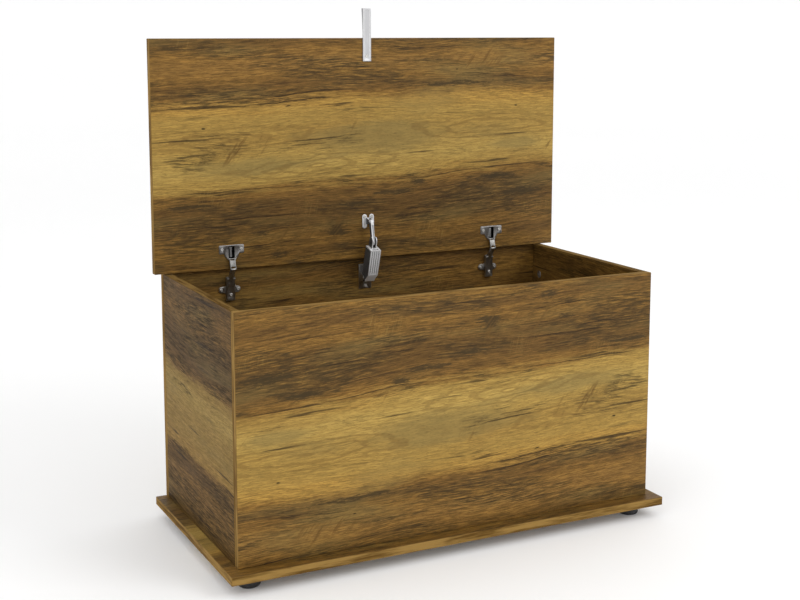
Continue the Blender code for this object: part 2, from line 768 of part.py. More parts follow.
def hinge_cup(name, middle_x, parent):
    """A cup under a winged cover, with two ears for the link's pin."""
    y_front = LID_UNDER - GAP - FLANGE
    made = sheet(name, cup_cover(middle_x), y_front, LID_UNDER - GAP)

    height = CUP_DEPTH + GAP + FLANGE / 2
    inner = CUP_RADIUS - CUP_WALL
    profile = [
        (0, 0),
        (CUP_RADIUS, 0),
        (CUP_RADIUS, height),
        (inner, height),
        (inner, CUP_WALL),
        (0, CUP_WALL),
    ]
    bottom = (middle_x, LID_UNDER + CUP_DEPTH, LID_EDGE + CUP_CENTRE)
    shell = turned(f"{name}_shell", profile, bottom, OUT_OF_LID, CUP_SIDES)
    mouth_low = (middle_x - LUG_INNER, y_front - PROUD, LID_EDGE)
    mouth_high = (middle_x + LUG_INNER, LID_UNDER + CUP_WALL, LID_EDGE + WINDOW_HIGH + CUP_WALL)
    cut(shell, box(f"{name}_mouth", mouth_low, mouth_high))
    join(made, shell)

    pivot_s = CUP_PIVOT[1] - LID_EDGE_GAP
    pivot_d = LID_FORWARD - CUP_PIVOT[0]
    lug = [
        (pivot_s + LUG_RADIUS, -GAP - FLANGE / 2),
        *arc((pivot_s, pivot_d), LUG_RADIUS, 0, -180, 8),
        (pivot_s - LUG_RADIUS, -GAP - FLANGE / 2),
    ]
    for number, way in enumerate((-1, 1), 1):
        faces = sorted((middle_x + way * LUG_INNER, middle_x + way * LUG_OUTER))
        join(made, prism(f"{name}_lug_{number}", mapped(lug, on_lid), *faces))
    pin = HINGE_PIN + PIN_CLEARANCE
    cut(made, cross_rod(f"{name}_pin_hole", pin, middle_x, LUG_OUTER + PROUD, side(*CUP_PIVOT)))
    for number, place in enumerate(wing_screw_places(middle_x), 1):
        cut(made, pilot(f"{name}_hole_{number}", place, OUT_OF_LID))
    settle(made, parent, NICKEL_LOOK)


def hinge_leaf(name, middle_x, parent):
    """The bent closing spring inside the cup."""
    outline = [
        (LEAF_HIGH, LEAF_FLOOR),
        (LEAF_LOW, LEAF_FLOOR),
        (LEAF_LOW, LEAF_TOP),
        (LEAF_HIGH, LEAF_TOP),
        (LEAF_HIGH, LEAF_TOP + LEAF),
        (LEAF_LOW + LEAF, LEAF_TOP + LEAF),
        (LEAF_LOW + LEAF, LEAF_FLOOR - LEAF),
        (LEAF_HIGH, LEAF_FLOOR - LEAF),
    ]
    made = prism(name, mapped(outline, on_lid), middle_x - LEAF_HALF, middle_x + LEAF_HALF)
    settle(made, parent, STEEL_LOOK)


def hinge(hand, middle_x, case, links, lid):
    hinge_plate(f"hinge_plate_{hand}", middle_x, case)
    hinge_arm(f"hinge_arm_{hand}", middle_x, case)
    clamp = pan_screw(
        f"hinge_arm_screw_{hand}", arm_screw_place(middle_x), OUT_OF_BACK, ARM_SCREW_LENGTH
    )
    settle(clamp, case, ZINC_LOOK)
    for number, place in enumerate(plate_screw_places(middle_x), 1):
        settle(pan_screw(f"hinge_plate_screw_{hand}_{number}", place, OUT_OF_BACK), case, ZINC_LOOK)
    arm_half = LINK_OUTER + PIN_CLEARANCE
    arm_pin = cross_rod(f"hinge_arm_pin_{hand}", HINGE_PIN, middle_x, arm_half, side(*ARM_PIVOT))
    settle(arm_pin, case, STEEL_LOOK)

    hinge_link(f"hinge_link_{hand}", middle_x, links)

    hinge_cup(f"hinge_cup_{hand}", middle_x, lid)
    hinge_leaf(f"hinge_leaf_{hand}", middle_x, lid)
    for number, place in enumerate(wing_screw_places(middle_x), 1):
        settle(pan_screw(f"hinge_cup_screw_{hand}_{number}", place, OUT_OF_LID), lid, ZINC_LOOK)
    cup_half = LUG_OUTER + HINGE_PIN_END
    cup_pin = cross_rod(f"hinge_cup_pin_{hand}", HINGE_PIN, middle_x, cup_half, side(*CUP_PIVOT))
    settle(cup_pin, lid, STEEL_LOOK)


# Lid stay


def stay_base(parent):
    """A plate on the back board with two cheeks that hold the housing's pivot."""
    low = (STAY_X - BASE_PLATE_HALF, BACK_INNER - GAP - BRACKET_SHEET, RIM + BASE_PLATE_LOW)
    high = (STAY_X + BASE_PLATE_HALF, BACK_INNER - GAP, RIM + BASE_PLATE_HIGH)
    made = box("stay_base", low, high)
    foot_u = GAP + BRACKET_SHEET / 2
    cheek = [
        (foot_u, BASE_PIVOT[1] + BASE_CHEEK_RISE),
        (foot_u, BASE_PIVOT[1] - BASE_CHEEK_RISE),
        *arc(BASE_PIVOT, BASE_CHEEK_RADIUS, -100, 100, 10),
    ]
    for number, way in enumerate((-1, 1), 1):
        inner = BASE_CHEEK_INNER
        faces = sorted((STAY_X + way * inner, STAY_X + way * (inner + BRACKET_SHEET)))
        join(made, prism(f"stay_base_cheek_{number}", mapped(cheek, side), *faces))
    hole = STAY_PIN + PIN_CLEARANCE
    cut(made, cross_rod("stay_base_pin_hole", hole, STAY_X, BASE_PLATE_HALF + PROUD, side(*BASE_PIVOT)))
    for number, place in enumerate(stay_base_screw_places(), 1):
        cut(made, pilot(f"stay_base_hole_{number}", place, OUT_OF_BACK))
    settle(made, parent, NICKEL_LOOK)


def stay_housing(parent):
    """A hollow extruded housing, round at its pivot, open at its top and ribbed in front."""
    place, _ = along(BASE_PIVOT, KNEE)
    round_end = -HOUSING_BACK
    outline = [
        *arc((0, 0), round_end, -90, -270, 12),
        (HOUSING_SHOULDER, HOUSING_FRONT),
        (HOUSING_TOP, HOUSING_FRONT),
        (HOUSING_TOP, HOUSING_BACK),
    ]
    faces = STAY_X - HOUSING_HALF, STAY_X + HOUSING_HALF
    made = prism("stay_housing", mapped(outline, place, side), *faces)
    wall = HOUSING_WALL
    cavity = [
        (HOUSING_FLOOR, HOUSING_BACK + wall),
        (HOUSING_FLOOR, HOUSING_FRONT - wall),
        (HOUSING_TOP + PROUD, HOUSING_FRONT - wall),
        (HOUSING_TOP + PROUD, HOUSING_BACK + wall),
    ]
    inner = faces[0] + wall, faces[1] - wall
    cut(made, prism("stay_cavity", mapped(cavity, place, side), *inner))
    for number, x in enumerate(GROOVE_PLACES, 1):
        groove = [
            (HOUSING_SHOULDER + PROUD, HOUSING_FRONT - GROOVE_DEPTH),
            (HOUSING_TOP + PROUD, HOUSING_FRONT - GROOVE_DEPTH),
            (HOUSING_TOP + PROUD, HOUSING_FRONT + PROUD),
            (HOUSING_SHOULDER + PROUD, HOUSING_FRONT + PROUD),
        ]
        span = STAY_X + x - GROOVE_WIDTH / 2, STAY_X + x + GROOVE_WIDTH / 2
        cut(made, prism(f"stay_groove_{number}", mapped(groove, place, side), *span))
    slot = [
        (HOUSING_TOP - FOLD_SLOT_LENGTH, HOUSING_BACK - PROUD),
        (HOUSING_TOP - FOLD_SLOT_LENGTH, HOUSING_BACK + 2 * wall),
        (HOUSING_TOP + PROUD, HOUSING_BACK + 2 * wall),
        (HOUSING_TOP + PROUD, HOUSING_BACK - PROUD),
    ]
    cut(made, prism("stay_fold_slot", mapped(slot, place, side), STAY_X - EAR_INNER, STAY_X + EAR_INNER))
    hole = STAY_PIN + PIN_CLEARANCE
    pivot = side(*BASE_PIVOT)
    cut(made, cross_rod("stay_housing_pin_hole", hole, STAY_X, BASE_PLATE_HALF, pivot))
    settle(made, parent, ALUMINIUM_LOOK)


def stay_cap(parent):
    """The housing's end cap, with two ears for the knee pin and slots for the folding arm."""
    place, knee = along(BASE_PIVOT, KNEE)
    low = HOUSING_TOP + GAP
    top = low + CAP
    outline = [(low, HOUSING_BACK), (low, HOUSING_FRONT), (top, HOUSING_FRONT), (top, HOUSING_BACK)]
    faces = STAY_X - HOUSING_HALF, STAY_X + HOUSING_HALF
    made = prism("stay_cap", mapped(outline, place, side), *faces)
    ear = [
        (low + CAP / 2, -EAR_RADIUS),
        *arc((knee + EAR_REACH, 0), EAR_RADIUS, -90, 90, 12),
        (low + CAP / 2, EAR_RADIUS),
    ]
    for number, way in enumerate((-1, 1), 1):
        span = sorted((STAY_X + way * EAR_INNER, STAY_X + way * EAR_OUTER))
        join(made, prism(f"stay_ear_{number}", mapped(ear, place, side), *span))
    fold = [
        (low - PROUD, HOUSING_BACK - PROUD),
        (low - PROUD, FOLD_SLOT_FRONT),
        (top + PROUD, FOLD_SLOT_FRONT),
        (top + PROUD, HOUSING_BACK - PROUD),
    ]
    inner = EAR_INNER - SLIVER
    cut(made, prism("stay_cap_fold_slot", mapped(fold, place, side), STAY_X - inner, STAY_X + inner))
    half, slot_low, slot_high = CAP_SLOT
    slot = [
        (low - PROUD, slot_low),
        (low - PROUD, slot_high),
        (top + PROUD, slot_high),
        (top + PROUD, slot_low),
    ]
    cut(made, prism("stay_cap_slot", mapped(slot, place, side), STAY_X - half, STAY_X + half))
    hole = STAY_PIN + PIN_CLEARANCE
    cut(made, cross_rod("stay_cap_pin_hole", hole, STAY_X, HOUSING_HALF, side(*KNEE)))
    settle(made, parent, ALUMINIUM_LOOK)


def stay_plunger(parent):
    """The rod with a head that the coil spring pushes on."""
    place, _ = along(BASE_PIVOT, KNEE)
    base = Vector((STAY_X, *side(*place(PLUNGER_LOW, PLUNGER_MIDDLE))))
    end = Vector((STAY_X, *side(*place(PLUNGER_HEAD_HIGH, PLUNGER_MIDDLE))))
    head = PLUNGER_HEAD_LOW - PLUNGER_LOW
    top = PLUNGER_HEAD_HIGH - PLUNGER_LOW
    profile = [
        (0, 0),
        (PLUNGER_ROD, 0),
        (PLUNGER_ROD, head),
        (PLUNGER_HEAD, head),
        (PLUNGER_HEAD, top),
        (0, top),
    ]
    made = turned("stay_plunger", profile, base, (end - base).normalized(), PIN_SIDES)
    settle(made, parent, STEEL_LOOK)


def stay_spring(parent):
    """A coil round the plunger's rod."""
    place, _ = along(BASE_PIVOT, KNEE)
    low = HOUSING_FLOOR + GAP + COIL_WIRE
    high = PLUNGER_HEAD_LOW - COIL_WIRE - GAP
    curve = bpy.data.curves.new("stay_spring", "CURVE")
    curve.dimensions = "3D"
    curve.bevel_depth = COIL_WIRE
    curve.bevel_resolution = 0
    curve.use_fill_caps = True
    spline = curve.splines.new("POLY")
    steps = COIL_TURNS * COIL_STEPS
    spline.points.add(steps)
    for number, point in enumerate(spline.points):
        angle = math.tau * number / COIL_STEPS
        t = low + (high - low) * number / steps
        w = PLUNGER_MIDDLE + COIL_RADIUS * math.cos(angle)
        point.co = (STAY_X + COIL_RADIUS * math.sin(angle), *side(*place(t, w)), 1)
    made = bpy.data.objects.new("stay_spring", curve)
    bpy.context.scene.collection.objects.link(made)
    settle(made, parent, STEEL_LOOK)


def stay_arm(parent):
    """A bar with an eye at each end and a groove down its front."""
    place, length = along(KNEE, LID_PIVOT)
    heading = math.degrees(math.atan2(LID_PIVOT[1] - KNEE[1], LID_PIVOT[0] - KNEE[0]))
    outline = arc(KNEE, BAR_RADIUS, heading + 90, heading + 270, 12)
    outline += arc(LID_PIVOT, BAR_RADIUS, heading - 90, heading + 90, 12)
    made = prism("stay_arm", mapped(outline, side), STAY_X - BAR_HALF, STAY_X + BAR_HALF)
    groove = [
        (BAR_GROOVE_END, BAR_GROOVE_FLOOR),
        (length - BAR_GROOVE_END, BAR_GROOVE_FLOOR),
        (length - BAR_GROOVE_END, BAR_RADIUS + PROUD),
        (BAR_GROOVE_END, BAR_RADIUS + PROUD),
    ]
    half = BAR_GROOVE_HALF
    cut(made, prism("stay_arm_groove", mapped(groove, place, side), STAY_X - half, STAY_X + half))
    knee_hole = STAY_PIN + PIN_CLEARANCE
    cut(made, cross_rod("stay_arm_knee_hole", knee_hole, STAY_X, HOUSING_HALF, side(*KNEE)))
    lid_hole = STAY_PIN + STAY_PIN_PLAY
    cut(made, cross_rod("stay_arm_lid_hole", lid_hole, STAY_X, HOUSING_HALF, side(*LID_PIVOT)))
    settle(made, parent, ALUMINIUM_LOOK)


def stay_lid_bracket(parent):
    """Two oval screw tabs on the lid, joined by a plate with two cheeks for the arm's pin."""
    y_front, z_low = on_lid(TAB_LOW, -GAP - BRACKET_SHEET)
    y_back, z_high = on_lid(TAB_HIGH, -GAP)
    pivot_s = LID_PIVOT[1] - LID_EDGE_GAP
    pivot_d = LID_FORWARD - LID_PIVOT[0]
    z_pivot = on_lid(pivot_s, 0)[1]
    low = (STAY_X - TAB_MIDDLE, y_front + SLIVER, z_pivot - LID_CHEEK_HALF)
    high = (STAY_X + TAB_MIDDLE, y_back, z_pivot + LID_CHEEK_HALF)
    made = box("stay_lid_bracket", low, high)
    for number, way in enumerate((-1, 1), 1):
        x = STAY_X + way * TAB_MIDDLE
        oval = arc((x, z_high - TAB_RADIUS), TAB_RADIUS, 0, 180, 10)
        oval += arc((x, z_low + TAB_RADIUS), TAB_RADIUS, 180, 360, 10)
        join(made, sheet(f"stay_tab_{number}", oval, y_front, y_back))
    cheek = [
        (pivot_s + LID_CHEEK_HALF, -GAP - BRACKET_SHEET / 2),
        (pivot_s + LID_CHEEK_HALF, -GAP - 2 * BRACKET_SHEET),
        *arc((pivot_s, pivot_d), LID_CHEEK_RADIUS, 0, -180, 10),
        (pivot_s - LID_CHEEK_HALF, -GAP - 2 * BRACKET_SHEET),
        (pivot_s - LID_CHEEK_HALF, -GAP - BRACKET_SHEET / 2),
    ]
    for number, way in enumerate((-1, 1), 1):
        faces = sorted((STAY_X + way * EAR_INNER, STAY_X + way * (EAR_INNER + BRACKET_SHEET)))
        join(made, prism(f"stay_lid_cheek_{number}", mapped(cheek, on_lid), *faces))
    hole = STAY_PIN + PIN_CLEARANCE
    cut(made, cross_rod("stay_lid_pin_hole", hole, STAY_X, HOUSING_HALF, side(*LID_PIVOT)))
    for number, place in enumerate(stay_tab_screw_places(), 1):
        cut(made, pilot(f"stay_tab_hole_{number}", place, OUT_OF_LID))
    settle(made, parent, NICKEL_LOOK)


def stay(case, housing, arm, lid):
    stay_base(case)
    for number, place in enumerate(stay_base_screw_places(), 1):
        settle(pan_screw(f"stay_base_screw_{number}", place, OUT_OF_BACK), case, ZINC_LOOK)
    base_half = BASE_CHEEK_INNER + BRACKET_SHEET + STAY_PIN_END
    base_pin = cross_rod("stay_base_pin", STAY_PIN, STAY_X, base_half, side(*BASE_PIVOT))
    settle(base_pin, case, STEEL_LOOK)

    stay_housing(housing)
    stay_cap(housing)
    stay_plunger(housing)
    stay_spring(housing)
    knee_half = EAR_OUTER + STAY_PIN_END
    knee_pin = cross_rod("stay_knee_pin", STAY_PIN, STAY_X, knee_half, side(*KNEE))
    settle(knee_pin, housing, STEEL_LOOK)

    stay_arm(arm)

    stay_lid_bracket(lid)
    for number, place in enumerate(stay_tab_screw_places(), 1):
        settle(pan_screw(f"stay_lid_screw_{number}", place, OUT_OF_LID), lid, ZINC_LOOK)
    lid_half = EAR_INNER + BRACKET_SHEET + STAY_PIN_END
    lid_pin = cross_rod("stay_lid_pin", STAY_PIN, STAY_X, lid_half, side(*LID_PIVOT))
    settle(lid_pin, lid, STEEL_LOOK)


# Pull strip


def pull_strip(parent):
    """A strip on the lid's underside that runs past its free edge and thickens to its tip."""
    front = LID_UNDER - GAP - PULL_THICK
    back = LID_UNDER - GAP
    inner_end = LID_FREE_EDGE - PULL_ON_LID
    tip = LID_FREE_EDGE + PULL_BEYOND
    bend = LID_FREE_EDGE + PULL_BEND_START
    grown = PULL_TIP - PULL_THICK
    outline = [(front, inner_end)]
    outline += arc((front + PULL_TIP_ROUND, tip - PULL_TIP_ROUND), PULL_TIP_ROUND, 180, 90, 4)
    for step in range(PULL_BEND_STEPS, -1, -1):
        share = step / PULL_BEND_STEPS
        outline.append((back + grown * share**PULL_BEND_POWER, bend + (tip - bend) * share))
    outline.append((back, inner_end))
    made = prism("pull_strip", outline, -PULL_HALF, PULL_HALF)

    floor = front + PULL_CHANNEL_DEPTH
    half = PULL_CHANNEL_HALF
    corner = PULL_CHANNEL_CORNER
    low = inner_end + PULL_CHANNEL_END
    high = tip - PULL_CHANNEL_END
    channel = arc((half - corner, high - corner), corner, 0, 90, 4)
    channel += arc((corner - half, high - corner), corner, 90, 180, 4)
    channel += arc((corner - half, low + corner), corner, 180, 270, 4)
    channel += arc((half - corner, low + corner), corner, 270, 360, 4)
    cut(made, sheet("pull_channel", channel, front - PROUD, floor))
    cut(made, countersink("pull_screw_hole", pull_screw_place(), OUT_OF_LID))
    settle(made, parent, ALUMINIUM_LOOK)


def build():
    clear_scene()
    case = axis_empty("case_middle", (0, 0, 0))
    links = axis_empty("hinge_arm_axis", (0, *side(*ARM_PIVOT)), case)
    lid = axis_empty("hinge_cup_axis", (0, *side(*CUP_PIVOT)), links)
    housing = axis_empty("stay_base_axis", (0, *side(*BASE_PIVOT)), case)
    arm = axis_empty("stay_knee_axis", (0, *side(*KNEE)), housing)

    base_board(case)
    for number, place in enumerate(foot_places(), 1):
        foot(f"foot_{number}", place, case)
    front_board(case)
    back_board(case)
    for hand, way in (("left", -1), ("right", 1)):
        end_board(f"end_board_{hand}", way, case)
        for number, place in enumerate(cam_places(way), 1):
            cam(f"cam_{hand}_{number}", place, way, case)
        hinge(hand, way * HINGE_X, case, links, lid)

    lid_board(lid)
    stay(case, housing, arm, lid)
    pull_strip(lid)
    settle(flat_screw("pull_screw", pull_screw_place(), OUT_OF_LID), lid, ZINC_LOOK)


build()
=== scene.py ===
# %% [markdown]
# # Storage chest in rustic oak, with its lid open
# The chest is made of 15 mm melamine-faced board with an oak picture printed on it. Two sprung hinges and
# one folding stay carry the lid. Its solid parts come in as a frame that is never moved. This lesson gives
# every part its finish and remodels by hand the small parts whose shape needs more care.

# %% Load the frame
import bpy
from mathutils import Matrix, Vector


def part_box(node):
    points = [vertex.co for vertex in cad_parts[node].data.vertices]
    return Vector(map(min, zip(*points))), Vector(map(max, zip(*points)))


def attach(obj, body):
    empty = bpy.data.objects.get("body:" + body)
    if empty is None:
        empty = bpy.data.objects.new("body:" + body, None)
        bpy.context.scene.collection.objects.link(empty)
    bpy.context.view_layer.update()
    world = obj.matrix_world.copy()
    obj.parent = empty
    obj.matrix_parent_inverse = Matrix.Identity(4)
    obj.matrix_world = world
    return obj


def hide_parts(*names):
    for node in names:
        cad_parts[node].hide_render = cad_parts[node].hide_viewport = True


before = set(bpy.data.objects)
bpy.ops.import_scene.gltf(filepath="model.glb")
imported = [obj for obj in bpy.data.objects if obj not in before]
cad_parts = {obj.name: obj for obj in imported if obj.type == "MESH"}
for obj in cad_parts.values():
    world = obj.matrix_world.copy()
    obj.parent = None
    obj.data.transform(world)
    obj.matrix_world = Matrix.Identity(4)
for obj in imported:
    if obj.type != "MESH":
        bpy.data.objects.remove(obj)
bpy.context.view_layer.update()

print("nodes:", len(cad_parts))

# %% [markdown]
# ## Tools and units
# Everything is in metres, and most sizes on furniture are given in millimetres, so one short name turns
# one into the other.

# %% Units
import math

import bpy
from mathutils import Vector

MM = 0.001
FIT = 0.3 * MM

# %% [markdown]
# ## Camera
# The chest is seen from the front left, a little above the rim. All its upright edges are parallel in the
# picture, which a camera gets by looking level and sliding its film down. Sliding it far would push the
# chest out of the other views, so most of the tilt is kept and only a little of the slide.

# %% Camera
CAMERA_PLACE = (-1.0836, -2.1415, 0.8926)
CAMERA_TURN = math.radians(-26.435)
CAMERA_TILT = math.radians(90 - 8.006)
CAMERA_LENS = 60.57
FILM_WIDTH = 36
FILM_SLIDE = -0.1


def make_camera():
    data = bpy.data.cameras.new("camera")
    data.sensor_width = FILM_WIDTH
    data.lens = CAMERA_LENS
    data.shift_y = FILM_SLIDE
    camera = bpy.data.objects.new("camera", data)
    bpy.context.scene.collection.objects.link(camera)
    camera.location = CAMERA_PLACE
    camera.rotation_euler = (CAMERA_TILT, 0, CAMERA_TURN)
    bpy.context.scene.camera = camera
    print("camera at", CAMERA_PLACE, "lens", data.lens)


make_camera()

# %% [markdown]
# ## Joining nodes
# A finish is a network of small steps. Adding each node by hand takes many lines, so a few short helpers
# add one node each and hand back its output, ready for the next step.

# %% Helpers for a network of nodes
def feed(tree, socket, value):
    """Fills a socket with a number, a colour or another node's output."""
    if isinstance(value, bpy.types.NodeSocket):
        tree.links.new(value, socket)
    else:
        socket.default_value = value


def maths(tree, operation, first, second=0.0, clamp=False):
    step = tree.nodes.new("ShaderNodeMath")
    step.operation = operation
    step.use_clamp = clamp
    feed(tree, step.inputs[0], first)
    feed(tree, step.inputs[1], second)
    return step.outputs[0]


def ease(tree, value, low, high, out_low=0.0, out_high=1.0):
    """A soft switch: out_low below low, out_high above high."""
    step = tree.nodes.new("ShaderNodeMapRange")
    step.interpolation_type = "SMOOTHSTEP"
    feed(tree, step.inputs["Value"], value)
    for name, number in (("From Min", low), ("From Max", high), ("To Min", out_low), ("To Max", out_high)):
        step.inputs[name].default_value = number
    return step.outputs["Result"]


def tint(tree, amount, under, over, blend="MIX"):
    mix = tree.nodes.new("ShaderNodeMix")
    mix.data_type = "RGBA"
    mix.blend_type = blend
    mix.clamp_factor = True
    feed(tree, mix.inputs[0], amount)
    feed(tree, mix.inputs[6], under)
    feed(tree, mix.inputs[7], over)
    return mix.outputs[2]


def stretched_noise(tree, where, scale, detail=2.0, roughness=0.5):
    """Noise with so many features a metre along each of the three directions."""
    stretch = tree.nodes.new("ShaderNodeMapping")
    stretch.inputs["Scale"].default_value = scale
    feed(tree, stretch.inputs["Vector"], where)
    noise = tree.nodes.new("ShaderNodeTexNoise")
    noise.inputs["Scale"].default_value = 1.0
    noise.inputs["Detail"].default_value = detail
    noise.inputs["Roughness"].default_value = roughness
    tree.links.new(stretch.outputs[0], noise.inputs["Vector"])
    return noise.outputs["Fac"]


def split(tree, where):
    parts = tree.nodes.new("ShaderNodeSeparateXYZ")
    feed(tree, parts.inputs[0], where)
    return parts.outputs


def gather(tree, along, across, through):
    whole = tree.nodes.new("ShaderNodeCombineXYZ")
    for socket, value in zip(whole.inputs, (along, across, through)):
        feed(tree, socket, value)
    return whole.outputs[0]


# %% [markdown]
# ## The oak picture
# The board carries one printed picture of aged oak: a pale golden band across the middle between two dark
# brown ones, with charcoal smudges, fine dark veins, an arched figure, saw marks, knots and a few cracks.
# A photograph of a plank would be the usual way. Here it is drawn by nodes, one group for all the boards,
# so that it stays sharp at any distance. In the group the grain runs along X, Y goes across it and Z goes
# through the board, all in metres.

# %% Colours of the oak
GLOSS = 0.014


def light(red, green, blue):
    """A screen colour, 0 to 255, as light values for a shader, less the pale gloss that lies on it."""
    values = [c / 255 for c in (red, green, blue)]
    values = [c / 12.92 if c <= 0.04045 else ((c + 0.055) / 1.055) ** 2.4 for c in values]
    return (*[max(c - GLOSS, 0.3 * c) for c in values], 1.0)


PALE_GOLD = light(175, 146, 81)
GOLD = light(160, 130, 70)
ORANGE_GOLD = light(166, 131, 68)
OLIVE = light(132, 114, 70)
BROWN = light(127, 96, 52)
RED_BROWN = light(135, 102, 56)
DARK_BROWN = light(103, 78, 46)
CHARCOAL = light(68, 58, 42)
BLACK_BROWN = light(42, 34, 24)
EDGE_GOLD = light(150, 120, 70)
EDGE_BROWN = light(98, 74, 42)

# %% [markdown]
# The bands come first. A colour ramp reads the distance across the grain, in millimetres from the middle
# of the board. The bands climb a little to the right, a slow noise bends them, and a streaky noise pushes
# the edges of the bands in and out, so that one colour combs into the next as it does in a plank. The three
# numbers of a noise say how many features it has in a metre along, across and through the board.

# %% Bands across the grain
PICTURE_HALF = 240
BANDS = (
    (-240, BROWN), (-212, DARK_BROWN), (-186, BROWN), (-164, RED_BROWN), (-140, BROWN), (-122, DARK_BROWN),
    (-104, BROWN), (-86, ORANGE_GOLD), (-62, GOLD), (-22, GOLD), (14, PALE_GOLD), (44, GOLD),
    (60, BROWN), (88, DARK_BROWN), (128, DARK_BROWN), (160, BROWN), (186, DARK_BROWN), (204, BROWN),
    (240, RED_BROWN),
)
CLIMB = 0.03
SLOW_BEND = (1.7, 4, 4)
FINE_WAVER = (9, 22, 22)
COMB = (4.5, 85, 85)
PALE_MIDDLE = -20 * MM
PALE_EDGE = (50 * MM, 90 * MM)


def sway(tree, where, scale, reach, detail=2.0, roughness=0.5):
    """A noise that swings evenly to both sides of nothing, by about half of reach."""
    noise = stretched_noise(tree, where, scale, detail=detail, roughness=roughness)
    return maths(tree, "MULTIPLY", maths(tree, "SUBTRACT", noise, 0.5), reach)


def wander(tree, where):
    """The grain's coordinates with a fine waver, and the distance across the bands."""
    along, across, through = split(tree, where)
    level = maths(tree, "SUBTRACT", across, maths(tree, "MULTIPLY", along, CLIMB))
    level = maths(tree, "ADD", level, sway(tree, where, SLOW_BEND, 50 * MM, detail=1.0))
    wavy = maths(tree, "ADD", level, sway(tree, where, FINE_WAVER, 7 * MM))
    combed = maths(tree, "ADD", wavy, sway(tree, where, COMB, 62 * MM, detail=5.0, roughness=0.65))
    return gather(tree, along, wavy, through), combed


def band_colour(tree, combed):
    ramp = tree.nodes.new("ShaderNodeValToRGB")
    share = maths(tree, "DIVIDE", combed, 2 * PICTURE_HALF * MM)
    tree.links.new(maths(tree, "ADD", share, 0.5), ramp.inputs[0])
    stops = ramp.color_ramp.elements
    while len(stops) < len(BANDS):
        stops.new(0.5)
    for stop, (place, colour) in zip(stops, BANDS):
        stop.position = 0.5 + place / (2 * PICTURE_HALF)
        stop.color = colour
    return ramp.outputs[0]


# %% [markdown]
# Over the bands lie the streaks: noise drawn out along the grain, with so many finer octaves that it shows
# both stripes from across a room and fibres from close by. A slower noise moves the colour between a warm
# orange and a cool olive.

# %% Streaks
STRIPES = (9.5, 140, 140)
FIBRES = (38, 560, 560)
TICKS = (54, 680, 680)
HUES = (2.6, 16, 16)


def from_middle(tree, combed):
    """Distance from the middle of the pale band."""
    return maths(tree, "ABSOLUTE", maths(tree, "SUBTRACT", combed, PALE_MIDDLE))


def streaks(tree, grain, combed, colour):
    stripes = stretched_noise(tree, grain, STRIPES, detail=8.0, roughness=0.80)
    fibres = stretched_noise(tree, grain, FIBRES, detail=5.0, roughness=0.72)
    strength = ease(tree, from_middle(tree, combed), *PALE_EDGE, 0.55, 1.10)
    shade = ease(tree, stripes, 0.34, 0.66, 0.75, 1.23)
    shade = maths(tree, "MULTIPLY", shade, ease(tree, fibres, 0.36, 0.64, 0.66, 1.27))
    shade = maths(tree, "ADD", 1.0, maths(tree, "MULTIPLY", maths(tree, "SUBTRACT", shade, 1.0), strength))
    colour = tint(tree, 1.0, colour, gather(tree, shade, shade, shade), "MULTIPLY")
    ticks = stretched_noise(tree, grain, TICKS, detail=2.0, roughness=0.5)
    ticked = maths(tree, "MULTIPLY", ease(tree, ticks, 0.58, 0.63, 0.0, 0.62), strength)
    colour = tint(tree, ticked, colour, DARK_BROWN)
    hue = stretched_noise(tree, grain, HUES, detail=3.0)
    colour = tint(tree, ease(tree, hue, 0.52, 0.72, 0.0, 0.26), colour, RED_BROWN)
    return tint(tree, ease(tree, hue, 0.48, 0.28, 0.0, 0.45), colour, OLIVE), stripes, fibres


# %% [markdown]
# Weathered wood is dark where fibres have torn and pale where they still stand, so a weathered patch is a
# tight row of dark and pale dashes. One noise makes the dashes and a rounder one says where the patches
# are. Single long veins run between them.

# %% Weathered patches and veins
DASHES = (30, 380, 380)
PATCHES = (4.5, 26, 26)
VEINS = (5, 150, 150)
VEIN_PLACES = (7, 26, 26)


def weathering(tree, grain, combed, colour):
    dashes = stretched_noise(tree, grain, DASHES, detail=4.0, roughness=0.72)
    patches = stretched_noise(tree, grain, PATCHES, detail=4.0, roughness=0.62)
    likely = ease(tree, from_middle(tree, combed), 55 * MM, 90 * MM, -0.07, 0.05)
    where = ease(tree, maths(tree, "ADD", patches, likely), 0.50, 0.62)
    dark = maths(tree, "MULTIPLY", ease(tree, dashes, 0.45, 0.57, 0.05, 0.80), where)
    pale = maths(tree, "MULTIPLY", ease(tree, dashes, 0.44, 0.32, 0.0, 0.48), where)
    colour = tint(tree, dark, colour, CHARCOAL)
    return tint(tree, pale, colour, ORANGE_GOLD), dark


def veins(tree, grain, colour):
    line = stretched_noise(tree, grain, VEINS, detail=3.0, roughness=0.5)
    place = stretched_noise(tree, grain, VEIN_PLACES, detail=1.0)
    often = ease(tree, place, 0.42, 0.62, 0.10, 0.72)
    amount = maths(tree, "MULTIPLY", ease(tree, line, 0.61, 0.66), often)
    return tint(tree, amount, colour, BLACK_BROWN), amount


# %% [markdown]
# ### Marks with a place of their own
# Noise alone looks the same everywhere, and a real plank has marks one remembers. Each is an oval at a
# place along and across the board, in millimetres, roughened by noise: a soft olive cloud in the pale band,
# black blots, small knots, and patches where a coarse saw scratched across the grain.

# %% Ovals
def oval(tree, grain, place, half, rough=0.0):
    """Distance from a place, 1 at the rim of an oval with these half sizes, all in millimetres."""
    along, across, _ = split(tree, grain)
    far = maths(tree, "DIVIDE", maths(tree, "SUBTRACT", along, place[0] * MM), half[0] * MM)
    high = maths(tree, "DIVIDE", maths(tree, "SUBTRACT", across, place[1] * MM), half[1] * MM)
    squares = maths(tree, "ADD", maths(tree, "MULTIPLY", far, far), maths(tree, "MULTIPLY", high, high))
    return maths(tree, "ADD", maths(tree, "SQRT", squares), rough)


